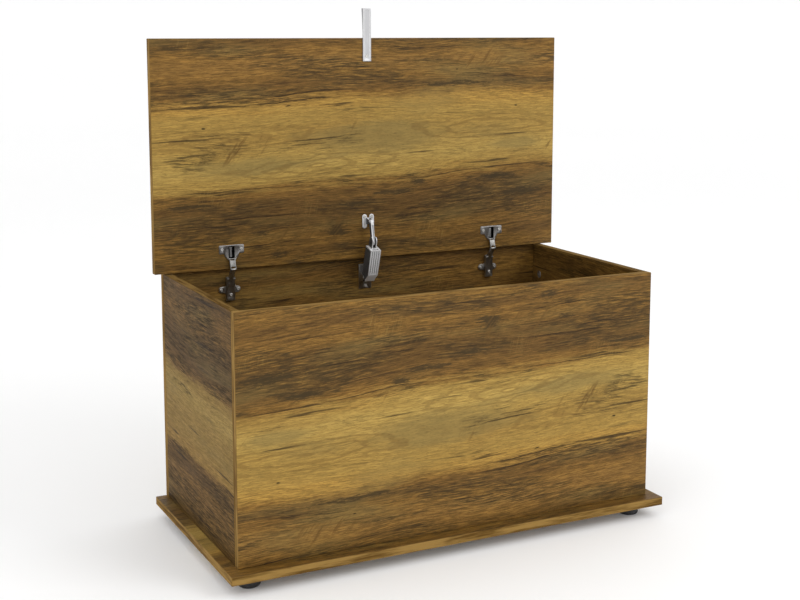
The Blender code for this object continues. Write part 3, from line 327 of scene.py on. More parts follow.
def strongest(tree, amounts):
    total = amounts[0]
    for amount in amounts[1:]:
        total = maths(tree, "MAXIMUM", total, amount)
    return total


def near_spots(tree, grain, spots, rough, inner, rim, strength):
    """Full strength within inner of one of the spots, easing to nothing at rim."""
    near = []
    for spot in spots:
        distance = oval(tree, grain, *spot, rough)
        near.append(ease(tree, distance, inner, rim, strength, 0.0))
    return strongest(tree, near)


# %% Clouds and blots
CLOUDS = (((-10, -22), (170, 27)), ((235, 8), (110, 16)), ((-330, 8), (60, 14)))
BLOTS = (
    ((182, 186), (20, 9)), ((214, 140), (22, 5)), ((-112, 64), (17, 6)), ((-60, 80), (60, 5)),
    ((-345, 112), (62, 9)), ((-285, 76), (52, 9)), ((25, 98), (34, 9)), ((60, 150), (26, 15)),
    ((-180, -112), (90, 5)), ((345, 78), (50, 7)),
)
CLOUD_RIM = (12, 60, 60)
BLOT_RIM = (44, 340, 340)


def clouds(tree, grain, colour):
    rough = sway(tree, grain, CLOUD_RIM, 1.5, detail=4.0, roughness=0.6)
    near = near_spots(tree, grain, CLOUDS, rough, 0.5, 1.25, 0.62)
    return tint(tree, near, colour, OLIVE)


def blots(tree, grain, colour):
    rough = sway(tree, grain, BLOT_RIM, 5.0, detail=5.0, roughness=0.75)
    near = near_spots(tree, grain, BLOTS, rough, 0.45, 1.0, 0.85)
    return tint(tree, near, colour, CHARCOAL)


# %% [markdown]
# The saw's scratches are the same drawn-out noise again, but turned on the board: a Mapping node turns the
# grain's coordinates before the noise reads them. Coarse dark strokes lean one way, and fine pale hatching
# stands almost square to the grain.

# %% Saw strokes
STROKE_TURN = math.radians(-52)
HATCH_TURN = math.radians(-76)
STROKES = (16, 150, 60)
HATCHING = (30, 560, 90)
PATCH_RIM = (14, 30, 30)
PATCH_PLACES = (6, 12, 12)
STROKE_PATCHES = (
    ((78, 150), (62, 42)), ((170, 152), (44, 36)), ((-40, 140), (60, 40)), ((-250, -160), (60, 26)),
)
HATCH_PATCHES = (
    ((-375, -50), (26, 22)), ((120, 102), (34, 26)), ((300, 60), (44, 18)), ((-140, 168), (40, 22)),
)


def turned(tree, grain, angle):
    turn = tree.nodes.new("ShaderNodeMapping")
    turn.inputs["Rotation"].default_value = (0, 0, angle)
    feed(tree, turn.inputs["Vector"], grain)
    return turn.outputs[0]


def patches_of(tree, grain, spots, chance):
    rough = sway(tree, grain, PATCH_RIM, 1.6)
    placed = near_spots(tree, grain, spots, rough, 0.45, 1.2, 1.0)
    strewn = stretched_noise(tree, grain, PATCH_PLACES, detail=1.0)
    return maths(tree, "MAXIMUM", placed, ease(tree, strewn, chance, chance + 0.1))


def saw_strokes(tree, grain, colour):
    leaning = turned(tree, grain, STROKE_TURN)
    strokes = stretched_noise(tree, leaning, STROKES, detail=3.0, roughness=0.6)
    dark = maths(tree, "MULTIPLY", ease(tree, strokes, 0.50, 0.66, 0.0, 0.75),
                 patches_of(tree, grain, STROKE_PATCHES, 0.64))
    colour = tint(tree, dark, colour, DARK_BROWN)
    hatch = stretched_noise(tree, turned(tree, grain, HATCH_TURN), HATCHING, detail=2.0)
    pale = maths(tree, "MULTIPLY", ease(tree, hatch, 0.52, 0.70, 0.0, 0.17),
                 patches_of(tree, grain, HATCH_PATCHES, 0.66))
    return tint(tree, pale, colour, PALE_GOLD), pale


# %% [markdown]
# Where a plank is cut nearly along the growth rings they show as nested arches. The same oval distance,
# with a sine over it, gives the rings, and the dashes break them up.

# %% Arched figure
ARCHES = (((95, 18), (80, 9)), ((-290, -30), (90, 11)), ((290, -36), (90, 9)))
ARCH_RINGS = 1.15
ARCH_REACH = 3.6
ARCH_RIM = (14, 70, 70)


def arches(tree, grain, colour, fibres):
    rough = sway(tree, grain, ARCH_RIM, 2.0, detail=3.0)
    broken = ease(tree, fibres, 0.40, 0.56, 0.25, 1.0)
    lines = []
    for spot in ARCHES:
        distance = oval(tree, grain, *spot, rough)
        wave = maths(tree, "SINE", maths(tree, "MULTIPLY", distance, 2 * math.pi * ARCH_RINGS))
        near = ease(tree, distance, ARCH_REACH * 0.4, ARCH_REACH, 0.5, 0.0)
        lines.append(maths(tree, "MULTIPLY", ease(tree, wave, 0.2, 0.95), near))
    return tint(tree, maths(tree, "MULTIPLY", strongest(tree, lines), broken), colour, DARK_BROWN)


# %% [markdown]
# A knot is where a branch was sawn through, and shows as a small dark oval. A crack runs along the grain and
# tapers to nothing at both ends. It could be cut into the mesh, but here it belongs to the print, so it is
# drawn as a thin line: the distance across the grain gives its width, the one along it gives its taper.

# %% Knots and cracks
KNOTS = (
    ((324, -56), (3.0, 1.3)), ((-330, -70), (2.6, 1.0)),
    ((160, -84), (4.4, 0.9)), ((-195, -140), (2.6, 1.0)),
)
CRACKS = (
    ((-345, -196), 70, 0.9), ((150, -92), 100, 0.8), ((-170, 58), 85, 0.7), ((300, 120), 70, 0.7),
    ((20, -150), 60, 0.6), ((250, 52), 120, 0.7),
)
KNOT_RIM = (220, 420, 420)
CRACK_WAVER = (26, 8, 8)


def knots(tree, grain, colour):
    rough = sway(tree, grain, KNOT_RIM, 1.2)
    near = near_spots(tree, grain, KNOTS, rough, 0.6, 1.7, 0.9)
    return tint(tree, near, colour, BLACK_BROWN)


def cracks(tree, grain, colour):
    along, across, _ = split(tree, grain)
    level = maths(tree, "ADD", across, sway(tree, grain, CRACK_WAVER, 7 * MM, detail=3.0))
    lines = []
    for place, half_length, half_width in CRACKS:
        far = maths(tree, "DIVIDE", maths(tree, "SUBTRACT", along, place[0] * MM), half_length * MM)
        taper = maths(tree, "SUBTRACT", 1.0, maths(tree, "MULTIPLY", far, far), clamp=True)
        away = maths(tree, "ABSOLUTE", maths(tree, "SUBTRACT", level, place[1] * MM))
        thin = ease(tree, away, 0.4 * half_width * MM, 1.6 * half_width * MM, 1.0, 0.0)
        lines.append(maths(tree, "MULTIPLY", thin, maths(tree, "SQRT", taper)))
    depth = strongest(tree, lines)
    return tint(tree, maths(tree, "MULTIPLY", depth, 0.9), colour, BLACK_BROWN), depth


# %% [markdown]
# The pores are the last and smallest marks: short dark dashes, a few tenths of a millimetre wide. The
# printed film is pressed with the same pattern, so the same values also feed a very shallow bump and make
# the dark lines a little duller.

# %% The oak group
PRESS_DEPTH = 0.12 * MM
PORES = (110, 1700, 1700)


def group_sockets(group):
    group.interface.new_socket("Grain", in_out="INPUT", socket_type="NodeSocketVector")
    group.interface.new_socket("Colour", in_out="OUTPUT", socket_type="NodeSocketColor")
    group.interface.new_socket("Roughness", in_out="OUTPUT", socket_type="NodeSocketFloat")
    group.interface.new_socket("Height", in_out="OUTPUT", socket_type="NodeSocketFloat")


def oak_picture():
    group = bpy.data.node_groups.new("oak picture", "ShaderNodeTree")
    group_sockets(group)
    where = group.nodes.new("NodeGroupInput").outputs[0]
    grain, combed = wander(group, where)
    colour = band_colour(group, combed)
    colour, stripes, fibres = streaks(group, grain, combed, colour)
    colour = clouds(group, grain, colour)
    colour = arches(group, grain, colour, fibres)
    colour, weathered = weathering(group, grain, combed, colour)
    colour, vein = veins(group, grain, colour)
    colour = blots(group, grain, colour)
    colour, sawn = saw_strokes(group, grain, colour)
    colour = knots(group, grain, colour)
    colour, crack = cracks(group, grain, colour)
    pore = ease(group, stretched_noise(group, grain, PORES, detail=1.0), 0.60, 0.70)
    colour = tint(group, maths(group, "MULTIPLY", pore, 0.40), colour, BLACK_BROWN)
    out = group.nodes.new("NodeGroupOutput")
    group.links.new(colour, out.inputs["Colour"])
    dull = maths(group, "MULTIPLY", maths(group, "ADD", weathered, pore), 0.10)
    roughness = maths(group, "ADD", ease(group, stripes, 0.3, 0.7, 0.54, 0.44), dull)
    group.links.new(roughness, out.inputs["Roughness"])
    sunk = maths(group, "ADD", maths(group, "MULTIPLY", vein, 0.4), maths(group, "MULTIPLY", pore, 0.5))
    sunk = maths(group, "ADD", sunk, maths(group, "MULTIPLY", crack, 0.8))
    sunk = maths(group, "ADD", sunk, maths(group, "MULTIPLY", weathered, 0.3))
    raised = maths(group, "ADD", maths(group, "MULTIPLY", fibres, 0.6), maths(group, "MULTIPLY", sawn, 0.3))
    group.links.new(maths(group, "SUBTRACT", raised, sunk), out.inputs["Height"])
    print("oak picture:", len(group.nodes), "nodes")
    return group


OAK_PICTURE = oak_picture()

# %% [markdown]
# ## Boards
# All boards are cut from the same printed sheet. Each has its own material, because each shows another
# stretch of the picture. A UV map could lay the picture on, but a flat board doesn't need one: a Mapping
# node centres the sheet on the board and turns it so that the grain runs along it. The lid shows the
# front's picture upside down, which happens when the two are cut one after the other. The thin edges have
# their own plain golden strip, told apart by where the surface faces. The end boards are painted darker
# and a little greyer, as shade on the sides that the light from the front misses, and are less glossy.

# %% Board material
ON_FACE = (math.radians(90), 0, 0)
UPSIDE_DOWN = (math.radians(90), math.radians(180), 0)
ON_END = (math.radians(90), 0, math.radians(90))
LYING = (0, 0, 0)


def laid_on(tree, source, place, turn):
    laid = tree.nodes.new("ShaderNodeMapping")
    laid.vector_type = "TEXTURE"
    laid.inputs["Location"].default_value = place
    laid.inputs["Rotation"].default_value = turn
    tree.links.new(source, laid.inputs["Vector"])
    return laid.outputs[0]


EDGE_STREAKS = (9, 130, 130)
EDGE_DULLNESS = 0.4


def edge_strip(tree, grain, facing, colour):
    """The edge's golden strip where the surface looks along the board, and a fine dark joint beside it."""
    along, across, through = split(tree, grain)
    face_along, _, face_through = split(tree, facing)
    crosswise = gather(tree, across, along, through)
    long_streak = stretched_noise(tree, grain, EDGE_STREAKS, detail=4.0, roughness=0.65)
    short_streak = stretched_noise(tree, crosswise, EDGE_STREAKS, detail=4.0, roughness=0.65)
    upright = ease(tree, maths(tree, "ABSOLUTE", face_along), 0.4, 0.6)
    streak = maths(tree, "ADD", maths(tree, "MULTIPLY", short_streak, upright),
                   maths(tree, "MULTIPLY", long_streak, maths(tree, "SUBTRACT", 1.0, upright)))
    strip = tint(tree, ease(tree, streak, 0.40, 0.62, 0.0, 1.0), EDGE_GOLD, EDGE_BROWN)
    outward = maths(tree, "ABSOLUTE", face_through)
    joint = maths(tree, "MULTIPLY", ease(tree, outward, 0.2, 0.5), ease(tree, outward, 0.8, 0.97, 1.0, 0.0))
    on_edge = ease(tree, outward, 0.5, 0.9, 1.0, 0.0)
    colour = tint(tree, on_edge, colour, strip)
    return tint(tree, maths(tree, "MULTIPLY", joint, 0.25), colour, DARK_BROWN), on_edge


def board_material(name, place, turn, brightness=1.0, greyness=0.0, gloss=0.16):
    material = bpy.data.materials.new(name)
    material.use_nodes = True
    tree = material.node_tree
    shader = tree.nodes["Principled BSDF"]
    source = tree.nodes.new("ShaderNodeTexCoord")
    grain = laid_on(tree, source.outputs["Object"], place, turn)
    facing = laid_on(tree, source.outputs["Normal"], (0, 0, 0), turn)
    picture = tree.nodes.new("ShaderNodeGroup")
    picture.node_tree = OAK_PICTURE
    tree.links.new(grain, picture.inputs["Grain"])
    colour, on_edge = edge_strip(tree, grain, facing, picture.outputs["Colour"])
    adjust = tree.nodes.new("ShaderNodeHueSaturation")
    adjust.inputs["Saturation"].default_value = 1.0 - greyness
    adjust.inputs["Value"].default_value = brightness
    tree.links.new(colour, adjust.inputs["Color"])
    tree.links.new(adjust.outputs[0], shader.inputs["Base Color"])
    duller = maths(tree, "MULTIPLY", on_edge, EDGE_DULLNESS)
    tree.links.new(maths(tree, "ADD", picture.outputs["Roughness"], duller), shader.inputs["Roughness"])
    bump = tree.nodes.new("ShaderNodeBump")
    bump.inputs["Strength"].default_value = 0.35
    bump.inputs["Distance"].default_value = PRESS_DEPTH
    tree.links.new(picture.outputs["Height"], bump.inputs["Height"])
    tree.links.new(bump.outputs[0], shader.inputs["Normal"])
    shader.inputs["Specular IOR Level"].default_value = gloss
    return material


def middle_of(node):
    low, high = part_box(node)
    return (Vector(low) + Vector(high)) / 2


def finish_node(node, material):
    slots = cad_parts[node].material_slots
    for slot in slots:
        slot.material = material
    print(f"{node}: {material.name} on {len(slots)} slot")


# %% Boards of the chest
BOARDS = {
    "front_board": (ON_FACE, (0, 0, 0)),
    "lid_board": (UPSIDE_DOWN, (0, 0, 0)),
    "back_board": (ON_FACE, (1.9, 0, 0.06)),
    "end_board_left": (ON_END, (0, 1.45, 0.05)),
    "end_board_right": (ON_END, (0, -2.6, -0.08)),
    "base_board": (LYING, (-3.4, -0.1, 0)),
}

# painted shade on the end boards: darker and a little greyer, and less glossy
END_SHADE_TONE = {"brightness": 0.68, "greyness": 0.02, "gloss": 0.05}

for board, (turn, slide) in BOARDS.items():
    tone = END_SHADE_TONE if board.startswith("end") else {}
    finish_node(board, board_material(f"oak {board}", middle_of(board) + Vector(slide), turn, **tone))

# %% [markdown]
# ## Metal
# The hinges and the stay are nickel-plated pressed steel, the stay's body and the pull are aluminium and
# the cam fasteners are cast zinc. Metal is told apart by how it was worked: drawn and brushed metal has
# fine lines one way, cast metal a faint grain, plated steel only a soft unevenness. Each metal could have a
# network of its own, but one recipe that takes the direction of the lines and their depth serves them all.
# A hollow that light hardly reaches gets painted shade, darker by its depth.

# %% Metal material
HOLLOW_SHADE = (0.012, 0.011, 0.010, 1)
EVEN_LINES = (420, 420, 420)
DARK_SHARE = 0.78
STAINS = (70, 70, 70)


def metal(name, colour, roughness, lines=EVEN_LINES, depth=0.01 * MM, metallic=1.0, hollow=None):
    """Worked metal. Hollow gives the two places along Y between which painted shade darkens it."""
    material = bpy.data.materials.new(name)
    material.use_nodes = True
    tree = material.node_tree
    shader = tree.nodes["Principled BSDF"]
    where = tree.nodes.new("ShaderNodeTexCoord").outputs["Object"]
    worked = stretched_noise(tree, where, lines, detail=3.0, roughness=0.6)
    cloudy = stretched_noise(tree, where, STAINS, detail=2.0)
    dark = tuple(DARK_SHARE * c for c in colour[:3]) + (1.0,)
    tone = tint(tree, ease(tree, worked, 0.3, 0.7, 0.0, 0.8), colour, dark)
    if hollow:
        into = split(tree, where)[1]
        # painted shade: the hollow darkens towards its depth, where light hardly reaches
        tone = tint(tree, ease(tree, into, *hollow, 0.0, 0.92), tone, HOLLOW_SHADE)
    tree.links.new(tone, shader.inputs["Base Color"])
    uneven = ease(tree, worked, 0.25, 0.75, roughness - 0.06, roughness + 0.06)
    stained = maths(tree, "ADD", uneven, ease(tree, cloudy, 0.45, 0.7, 0.0, 0.08))
    tree.links.new(stained, shader.inputs["Roughness"])
    shader.inputs["Metallic"].default_value = metallic
    bump = tree.nodes.new("ShaderNodeBump")
    bump.inputs["Strength"].default_value = 0.4
    bump.inputs["Distance"].default_value = depth
    tree.links.new(worked, bump.inputs["Height"])
    tree.links.new(bump.outputs[0], shader.inputs["Normal"])
    print("metal:", name)
    return material


# %% Metals of the chest
DRAWN_UP = (2600, 2600, 40)
LID_HOLLOW = (180.2 * MM, 182 * MM)

NICKEL = metal("nickel plated steel", (0.40, 0.39, 0.37, 1), 0.34)
# a brighter copy of the nickel: painted highlight for rounded edges
NICKEL_EDGE_HIGHLIGHT = metal("nickel edge, painted highlight", (0.80, 0.78, 0.74, 1), 0.30)
# a darker copy of the nickel: painted shade on the hinge links
SHADED_LINK_NICKEL = metal("nickel hinge link, painted shade", (0.24, 0.235, 0.225, 1), 0.40)
# a darker copy of the nickel, with painted shade in its hollow
SHADED_CUP_NICKEL = metal("nickel hinge cup, painted shade", (0.33, 0.32, 0.31, 1), 0.32, hollow=LID_HOLLOW)
BRIGHT_ZINC = metal("bright zinc", (0.66, 0.65, 0.62, 1), 0.34)
# aluminium in lit and shaded copies: the edge metal is brighter, a painted highlight; the groove and side
# metals are darker, painted shade
DRAWN_ALUMINIUM = metal("drawn aluminium", (0.78, 0.78, 0.79, 1), 0.40, DRAWN_UP, 0.015 * MM, 0.2)
SHADED_GROOVE_ALUMINIUM = metal("aluminium groove, painted shade", (0.04, 0.04, 0.04, 1), 0.5, DRAWN_UP, 0.015 * MM, 0.5)
ALUMINIUM_EDGE_HIGHLIGHT = metal("aluminium edge, painted highlight", (0.90, 0.90, 0.90, 1), 0.36, metallic=0.8)
BRUSHED_ALUMINIUM = metal("brushed aluminium", (0.58, 0.58, 0.59, 1), 0.40, DRAWN_UP, 0.015 * MM, 0.8)
SAWN_SHADED_ALUMINIUM = metal("sawn aluminium side, painted shade", (0.22, 0.22, 0.22, 1), 0.46, DRAWN_UP, 0.02 * MM, 0.8)
SHADED_SIDE_ALUMINIUM = metal("dull aluminium side, painted shade", (0.09, 0.09, 0.09, 1), 0.5, DRAWN_UP, 0.02 * MM, 0.6)
CAST_ZINC = metal("cast zinc", (0.50, 0.50, 0.51, 1), 0.44, (900, 900, 900), 0.03 * MM)
SPRING_STEEL = metal("spring steel", (0.34, 0.34, 0.34, 1), 0.34, (1500, 1500, 1500))
DARK_HOLE_STEEL = metal("near-black steel, painted shade", (0.035, 0.035, 0.035, 1), 0.42)

# %% Pins, springs and cams
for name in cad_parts:
    if name.startswith("cam_"):
        finish_node(name, CAST_ZINC)
    elif name.startswith("hinge_leaf") or name in ("stay_spring", "stay_plunger"):
        finish_node(name, SPRING_STEEL)
    # painted shade: the knee pin is near black, so that it shows as a dark hole in the cap's ear
    elif name == "stay_knee_pin":
        finish_node(name, DARK_HOLE_STEEL)
    elif "_pin" in name:
        finish_node(name, NICKEL)

# %% [markdown]
# ## Modelling by hand
# Small metal and plastic parts are read by their rounded edges, which catch a line of light. The screws,
# the pull and the feet start from a primitive at its size and place, and are shaped with the same
# operators as by hand. An operator works on what is selected, so one helper clears the selection, one
# starts a shape, and one selects faces or edges by where they are.

# %% Helpers for modelling
def nothing_selected():
    if bpy.context.mode != "OBJECT":
        bpy.ops.object.mode_set(mode="OBJECT")
    bpy.ops.object.select_all(action="DESELECT")


def only(piece):
    nothing_selected()
    piece.select_set(True)
    bpy.context.view_layer.objects.active = piece


def opened(name):
    """Names the new shape, puts its place into its mesh and opens it for editing."""
    piece = bpy.context.object
    piece.name = name
    piece.data.name = name
    bpy.ops.object.transform_apply(location=True, rotation=True, scale=True)
    bpy.ops.object.mode_set(mode="EDIT")
    return piece


def start_box(name, low, high):
    nothing_selected()
    low, high = Vector(low), Vector(high)
    bpy.ops.mesh.primitive_cube_add(size=1, location=(low + high) / 2, scale=high - low)
    return opened(name)


def start_round(name, middle, radius, depth, sides, turn=(0, 0, 0)):
    nothing_selected()
    bpy.ops.mesh.primitive_cylinder_add(
        vertices=sides, radius=radius, depth=depth, location=middle, rotation=turn
    )
    return opened(name)


def pick(kind, test):
    """Selects the faces whose centre and normal pass a test, or the edges whose two ends pass it."""
    bpy.ops.mesh.select_mode(type=kind)
    bpy.ops.mesh.select_all(action="DESELECT")
    bpy.ops.object.mode_set(mode="OBJECT")
    mesh = bpy.context.object.data
    if kind == "FACE":
        for face in mesh.polygons:
            face.select = test(face.center, face.normal)
    else:
        for edge in mesh.edges:
            edge.select = test(*(mesh.vertices[number].co for number in edge.vertices))
    bpy.ops.object.mode_set(mode="EDIT")


# %% Helpers for finishing a piece
NEAR = 0.01 * MM
FACING = 0.9
SMOOTH_UP_TO = math.radians(35)


def ease_edges(piece, width, steps=2, edge_slot=0, angle=40):
    """Rounds all sharp edges. The rounded faces can take a slot of their own."""
    only(piece)
    bevel = piece.modifiers.new("eased edges", "BEVEL")
    bevel.limit_method = "ANGLE"
    bevel.angle_limit = math.radians(angle)
    bevel.width = width
    bevel.segments = steps
    bevel.material = edge_slot
    bpy.ops.object.modifier_apply(modifier=bevel.name)


def cut_away(piece, cutter):
    only(piece)
    cut = piece.modifiers.new("cut", "BOOLEAN")
    cut.operation = "DIFFERENCE"
    cut.solver = "EXACT"
    cut.object = cutter
    bpy.ops.object.modifier_apply(modifier=cut.name)
    bpy.data.objects.remove(cutter, do_unlink=True)


def dress(piece, looks):
    """Gives the piece its materials, kept in order, before its faces are told which to take."""
    piece.data.materials.clear()
    for look in looks:
        piece.data.materials.append(look)


def complete(piece, body, node):
    """Smooths the piece and lets it stand for a part of the frame, on that part's body."""
    only(piece)
    bpy.ops.object.shade_smooth_by_angle(angle=SMOOTH_UP_TO)
    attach(piece, body)
    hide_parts(node)
    print(f"{piece.name}: {len(piece.data.polygons)} faces for {node}")


def copied(piece, name, turn, place):
    """A copy with a mesh of its own, turned about Y and moved."""
    only(piece)
    bpy.ops.object.duplicate(linked=False)
    twin = bpy.context.object
    twin.name = name
    twin.data.name = name
    twin.rotation_euler = (0, turn, 0)
    twin.location = place
    bpy.ops.object.transform_apply(location=True, rotation=True, scale=True)
    return twin


# %% [markdown]
# ## Pressed and drawn parts
# The hinge's cup, link, arm and plate and the stay's housing, cap, arm and brackets already have the right
# shape in the frame, but with edges as sharp as a knife. A press leaves a small radius there. Modelling
# them anew would only repeat work that is done. So each part is copied, its loose triangles are merged
# into whole faces, and a Bevel rounds every edge. The rounded faces take a brighter copy of the metal, a
# painted highlight along each edge. The sawn sides of the drawn parts and the floors of their grooves are a
# little rougher, and take a much darker copy, painted shade. A Bevel folds over where two corners nearly
# touch, so such slivers are merged away first, and only the stay's cap has them.

# %% Pressed parts
STEEL = (NICKEL, NICKEL_EDGE_HIGHLIGHT)
ALUMINIUM = (DRAWN_ALUMINIUM, ALUMINIUM_EDGE_HIGHLIGHT, SHADED_SIDE_ALUMINIUM)

PRESSED = {
    "hinge_cup": ("lid", 0.22 * MM, (SHADED_CUP_NICKEL, NICKEL_EDGE_HIGHLIGHT)),
    "hinge_link": ("hinge_links", 0.25 * MM, (SHADED_LINK_NICKEL, NICKEL)),
    "hinge_arm": ("case", 0.30 * MM, STEEL),
    "hinge_plate": ("case", 0.30 * MM, STEEL),
}
DRAWN = {
    "stay_base": ("case", 0.25 * MM, STEEL),
    "stay_housing": ("stay_lower", 0.18 * MM, (*ALUMINIUM, SHADED_GROOVE_ALUMINIUM)),
    "stay_cap": ("stay_lower", 0.20 * MM, ALUMINIUM),
    "stay_arm": ("stay_upper", 0.35 * MM, ALUMINIUM),
    "stay_lid_bracket": ("lid", 0.30 * MM, ALUMINIUM),
}
SLIVERS = {"stay_cap": 0.55 * MM}
EDGE, SIDE, GROOVE = 1, 2, 3
GROOVE_DEEPEST = 1 * MM


def shaded_sides(piece):
    """Gives the third metal, painted shade, to the faces that look sideways."""
    for face in piece.data.polygons:
        if abs(face.normal.x) > FACING:
            face.material_index = SIDE


def shaded_groove_floors(piece):
    """Gives the fourth metal, painted shade, to the floors of the grooves in the widest face that looks
    forward.
    """
    faces = piece.data.polygons
    front = max((face for face in faces if face.normal.y < -0.5), key=lambda face: face.area)
    ahead, level = front.normal.copy(), front.center.copy()
    for face in faces:
        depth = (level - face.center).dot(ahead)
        if face.normal.dot(ahead) > FACING and NEAR < depth < GROOVE_DEEPEST:
            face.material_index = GROOVE


def eased_part(node, body, width, looks):
    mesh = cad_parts[node].data.copy()
    piece = bpy.data.objects.new(f"eased_{node}", mesh)
    bpy.context.scene.collection.objects.link(piece)
    dress(piece, looks)
    only(piece)
    bpy.ops.object.mode_set(mode="EDIT")
    bpy.ops.mesh.select_all(action="SELECT")
    bpy.ops.mesh.remove_doubles(threshold=SLIVERS.get(node, 0.5 * NEAR))
    bpy.ops.mesh.dissolve_limited(angle_limit=math.radians(1))
    nothing_selected()
    # painted shade on the sideways faces and on the groove floors
    if len(looks) > SIDE:
        shaded_sides(piece)
    if len(looks) > GROOVE:
        shaded_groove_floors(piece)
    # the rounded edges take the brighter metal, a painted highlight
    ease_edges(piece, width, edge_slot=EDGE)
    complete(piece, body, node)


for part, finish in PRESSED.items():
    for hand in ("left", "right"):
        eased_part(f"{part}_{hand}", *finish)
for part, finish in DRAWN.items():
    eased_part(part, *finish)

# %% [markdown]
# ## Screws
# Zinc-plated pan-head screws hold the hinges and the stay. Each could be modelled where it sits, but it is
# less work to make one with care and copy it. It faces forward at the origin: a short round whose rim is
# beveled into a dome, a cross cut into it, and a shank drawn out of its back. Each copy is turned a little
# further, because nobody stops a screwdriver at the same angle twice. The pull's screw has a flat head
# instead, so it is made by the same function with a cone behind its head.

# %% Screw
SCREW_TURN = math.radians(37)
SHANK = 1.5 * MM
SHANK_LENGTH = 6 * MM
RECESS = (1.7 * MM, 0.45 * MM, 0.75 * MM)
ROUND_SIDES = 40
TIP_SHARE = 0.08
SCREW_EASE = 0.08 * MM
FACING_FORWARD = (math.radians(90), 0, 0)


def screw(name, radius, height, dome, cone):
    """A screw at the origin with the back of its head at Y 0 and its face towards -Y."""
    made = start_round(name, (0, -height / 2, 0), radius, height, ROUND_SIDES, FACING_FORWARD)
    pick("EDGE", lambda a, b: max(a.y, b.y) < -height + NEAR)
    bpy.ops.mesh.bevel(offset=dome, segments=4, affect="EDGES")
    pick("FACE", lambda centre, normal: normal.y > FACING)
    bpy.ops.mesh.inset(thickness=radius - SHANK)
    bpy.ops.transform.translate(value=(0, cone, 0))
    bpy.ops.mesh.extrude_region_move(TRANSFORM_OT_translate={"value": (0, SHANK_LENGTH, 0)})
    bpy.ops.mesh.extrude_region_move(TRANSFORM_OT_translate={"value": (0, 2 * SHANK, 0)})
    bpy.ops.transform.resize(value=(TIP_SHARE, 1, TIP_SHARE), center_override=(0, 0, 0))
    reach, half, deep = RECESS
    for across, up in ((reach, half), (half, reach)):
        low = (-across, -height - deep, -up)
        high = (across, -height + deep, up)
        cutter = start_box("recess", low, high)
        cut_away(made, cutter)
    ease_edges(made, SCREW_EASE)
    nothing_selected()
    return made


def place_screws(template, bodies, height):
    for count, (node, body) in enumerate(bodies.items()):
        low, high = (Vector(corner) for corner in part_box(node))
        middle = (low + high) / 2
        twin = copied(template, f"turned_{node}", SCREW_TURN * count, (middle.x, low.y + height, middle.z))
        dress(twin, (BRIGHT_ZINC,))
        complete(twin, body, node)
    bpy.data.objects.remove(template, do_unlink=True)


# %% Screws in their places
PAN_HEIGHT = 1.4 * MM
FLAT_HEIGHT = 0.35 * MM
HEAD = 3 * MM
PAN_DOME = 0.8 * MM
FLAT_DOME = 0.1 * MM
FLAT_CONE = 1.4 * MM

LID_SCREWS = ("hinge_cup_screw", "stay_lid_screw")
pan_bodies = {
    node: "lid" if node.startswith(LID_SCREWS) else "case"
    for node in sorted(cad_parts)
    if "_screw" in node and node != "pull_screw"
}
pan_screw = screw("pan_screw", HEAD, PAN_HEIGHT, PAN_DOME, 0)
place_screws(pan_screw, pan_bodies, PAN_HEIGHT)
flat_screw = screw("flat_screw", HEAD, FLAT_HEIGHT, FLAT_DOME, FLAT_CONE)
place_screws(flat_screw, {"pull_screw": "lid"}, FLAT_HEIGHT)

# %% [markdown]
# ## Pull
# A strip of aluminium is screwed under the lid and stands past its free edge, so that a finger can lift
# the lid. A profile swept along a curve would keep one thickness, and this strip thickens to its tip. So a
# box is cut across where it bends, and the rear edge of each new ring is pushed back along a curve. Then a
# cutter with rounded corners mills the long channel.

# %% Pull strip
PULL_BEND_START = 4 * MM
PULL_RINGS = 8
PULL_CURVE = 1.5
PULL_TIP_ROUND = 1.4 * MM
PULL_EASE = 0.35 * MM
CHANNEL_DEEP = 0.8 * MM
CHANNEL_BORDER = 2.8 * MM
CHANNEL_END = 2.4 * MM
CHANNEL_CORNER = 2.5 * MM


def thickened_strip(low, high, back, bend):
    strip = start_box("pull_grip", low, (high.x, back, high.z))
    for ring in range(PULL_RINGS):
        level = bend + (high.z - bend) * ring / PULL_RINGS
        bpy.ops.mesh.select_all(action="SELECT")
        bpy.ops.mesh.bisect(plane_co=(0, 0, level), plane_no=(0, 0, 1))
    rear = back - NEAR
    for ring in range(1, PULL_RINGS + 1):
        share = ring / PULL_RINGS
        level = bend + (high.z - bend) * share
        pick("EDGE", lambda a, b: abs(a.z - level) + abs(b.z - level) < NEAR and min(a.y, b.y) > rear)
        bpy.ops.transform.translate(value=(0, (high.y - back) * share**PULL_CURVE, 0))
    pick("EDGE", lambda a, b: min(a.z, b.z) > high.z - NEAR and max(a.y, b.y) < low.y + NEAR)
    bpy.ops.mesh.bevel(offset=PULL_TIP_ROUND, segments=4, affect="EDGES")
    return strip


def channel_cutter(low, high):
    cutter = start_box(
        "channel",
        (low.x + CHANNEL_BORDER, low.y - CHANNEL_DEEP, low.z + CHANNEL_END),
        (high.x - CHANNEL_BORDER, low.y + CHANNEL_DEEP, high.z - CHANNEL_END),
    )
    pick("EDGE", lambda a, b: abs(a.y - b.y) > NEAR)
    bpy.ops.mesh.bevel(offset=CHANNEL_CORNER, segments=6, affect="EDGES")
    return cutter


def screw_hole(node):
    low, high = (Vector(corner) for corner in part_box(node))
    middle = (low + high) / 2
    depth = 2 * (high.y - low.y)
    return start_round("screw hole", middle, HEAD + FIT, depth, ROUND_SIDES, FACING_FORWARD)


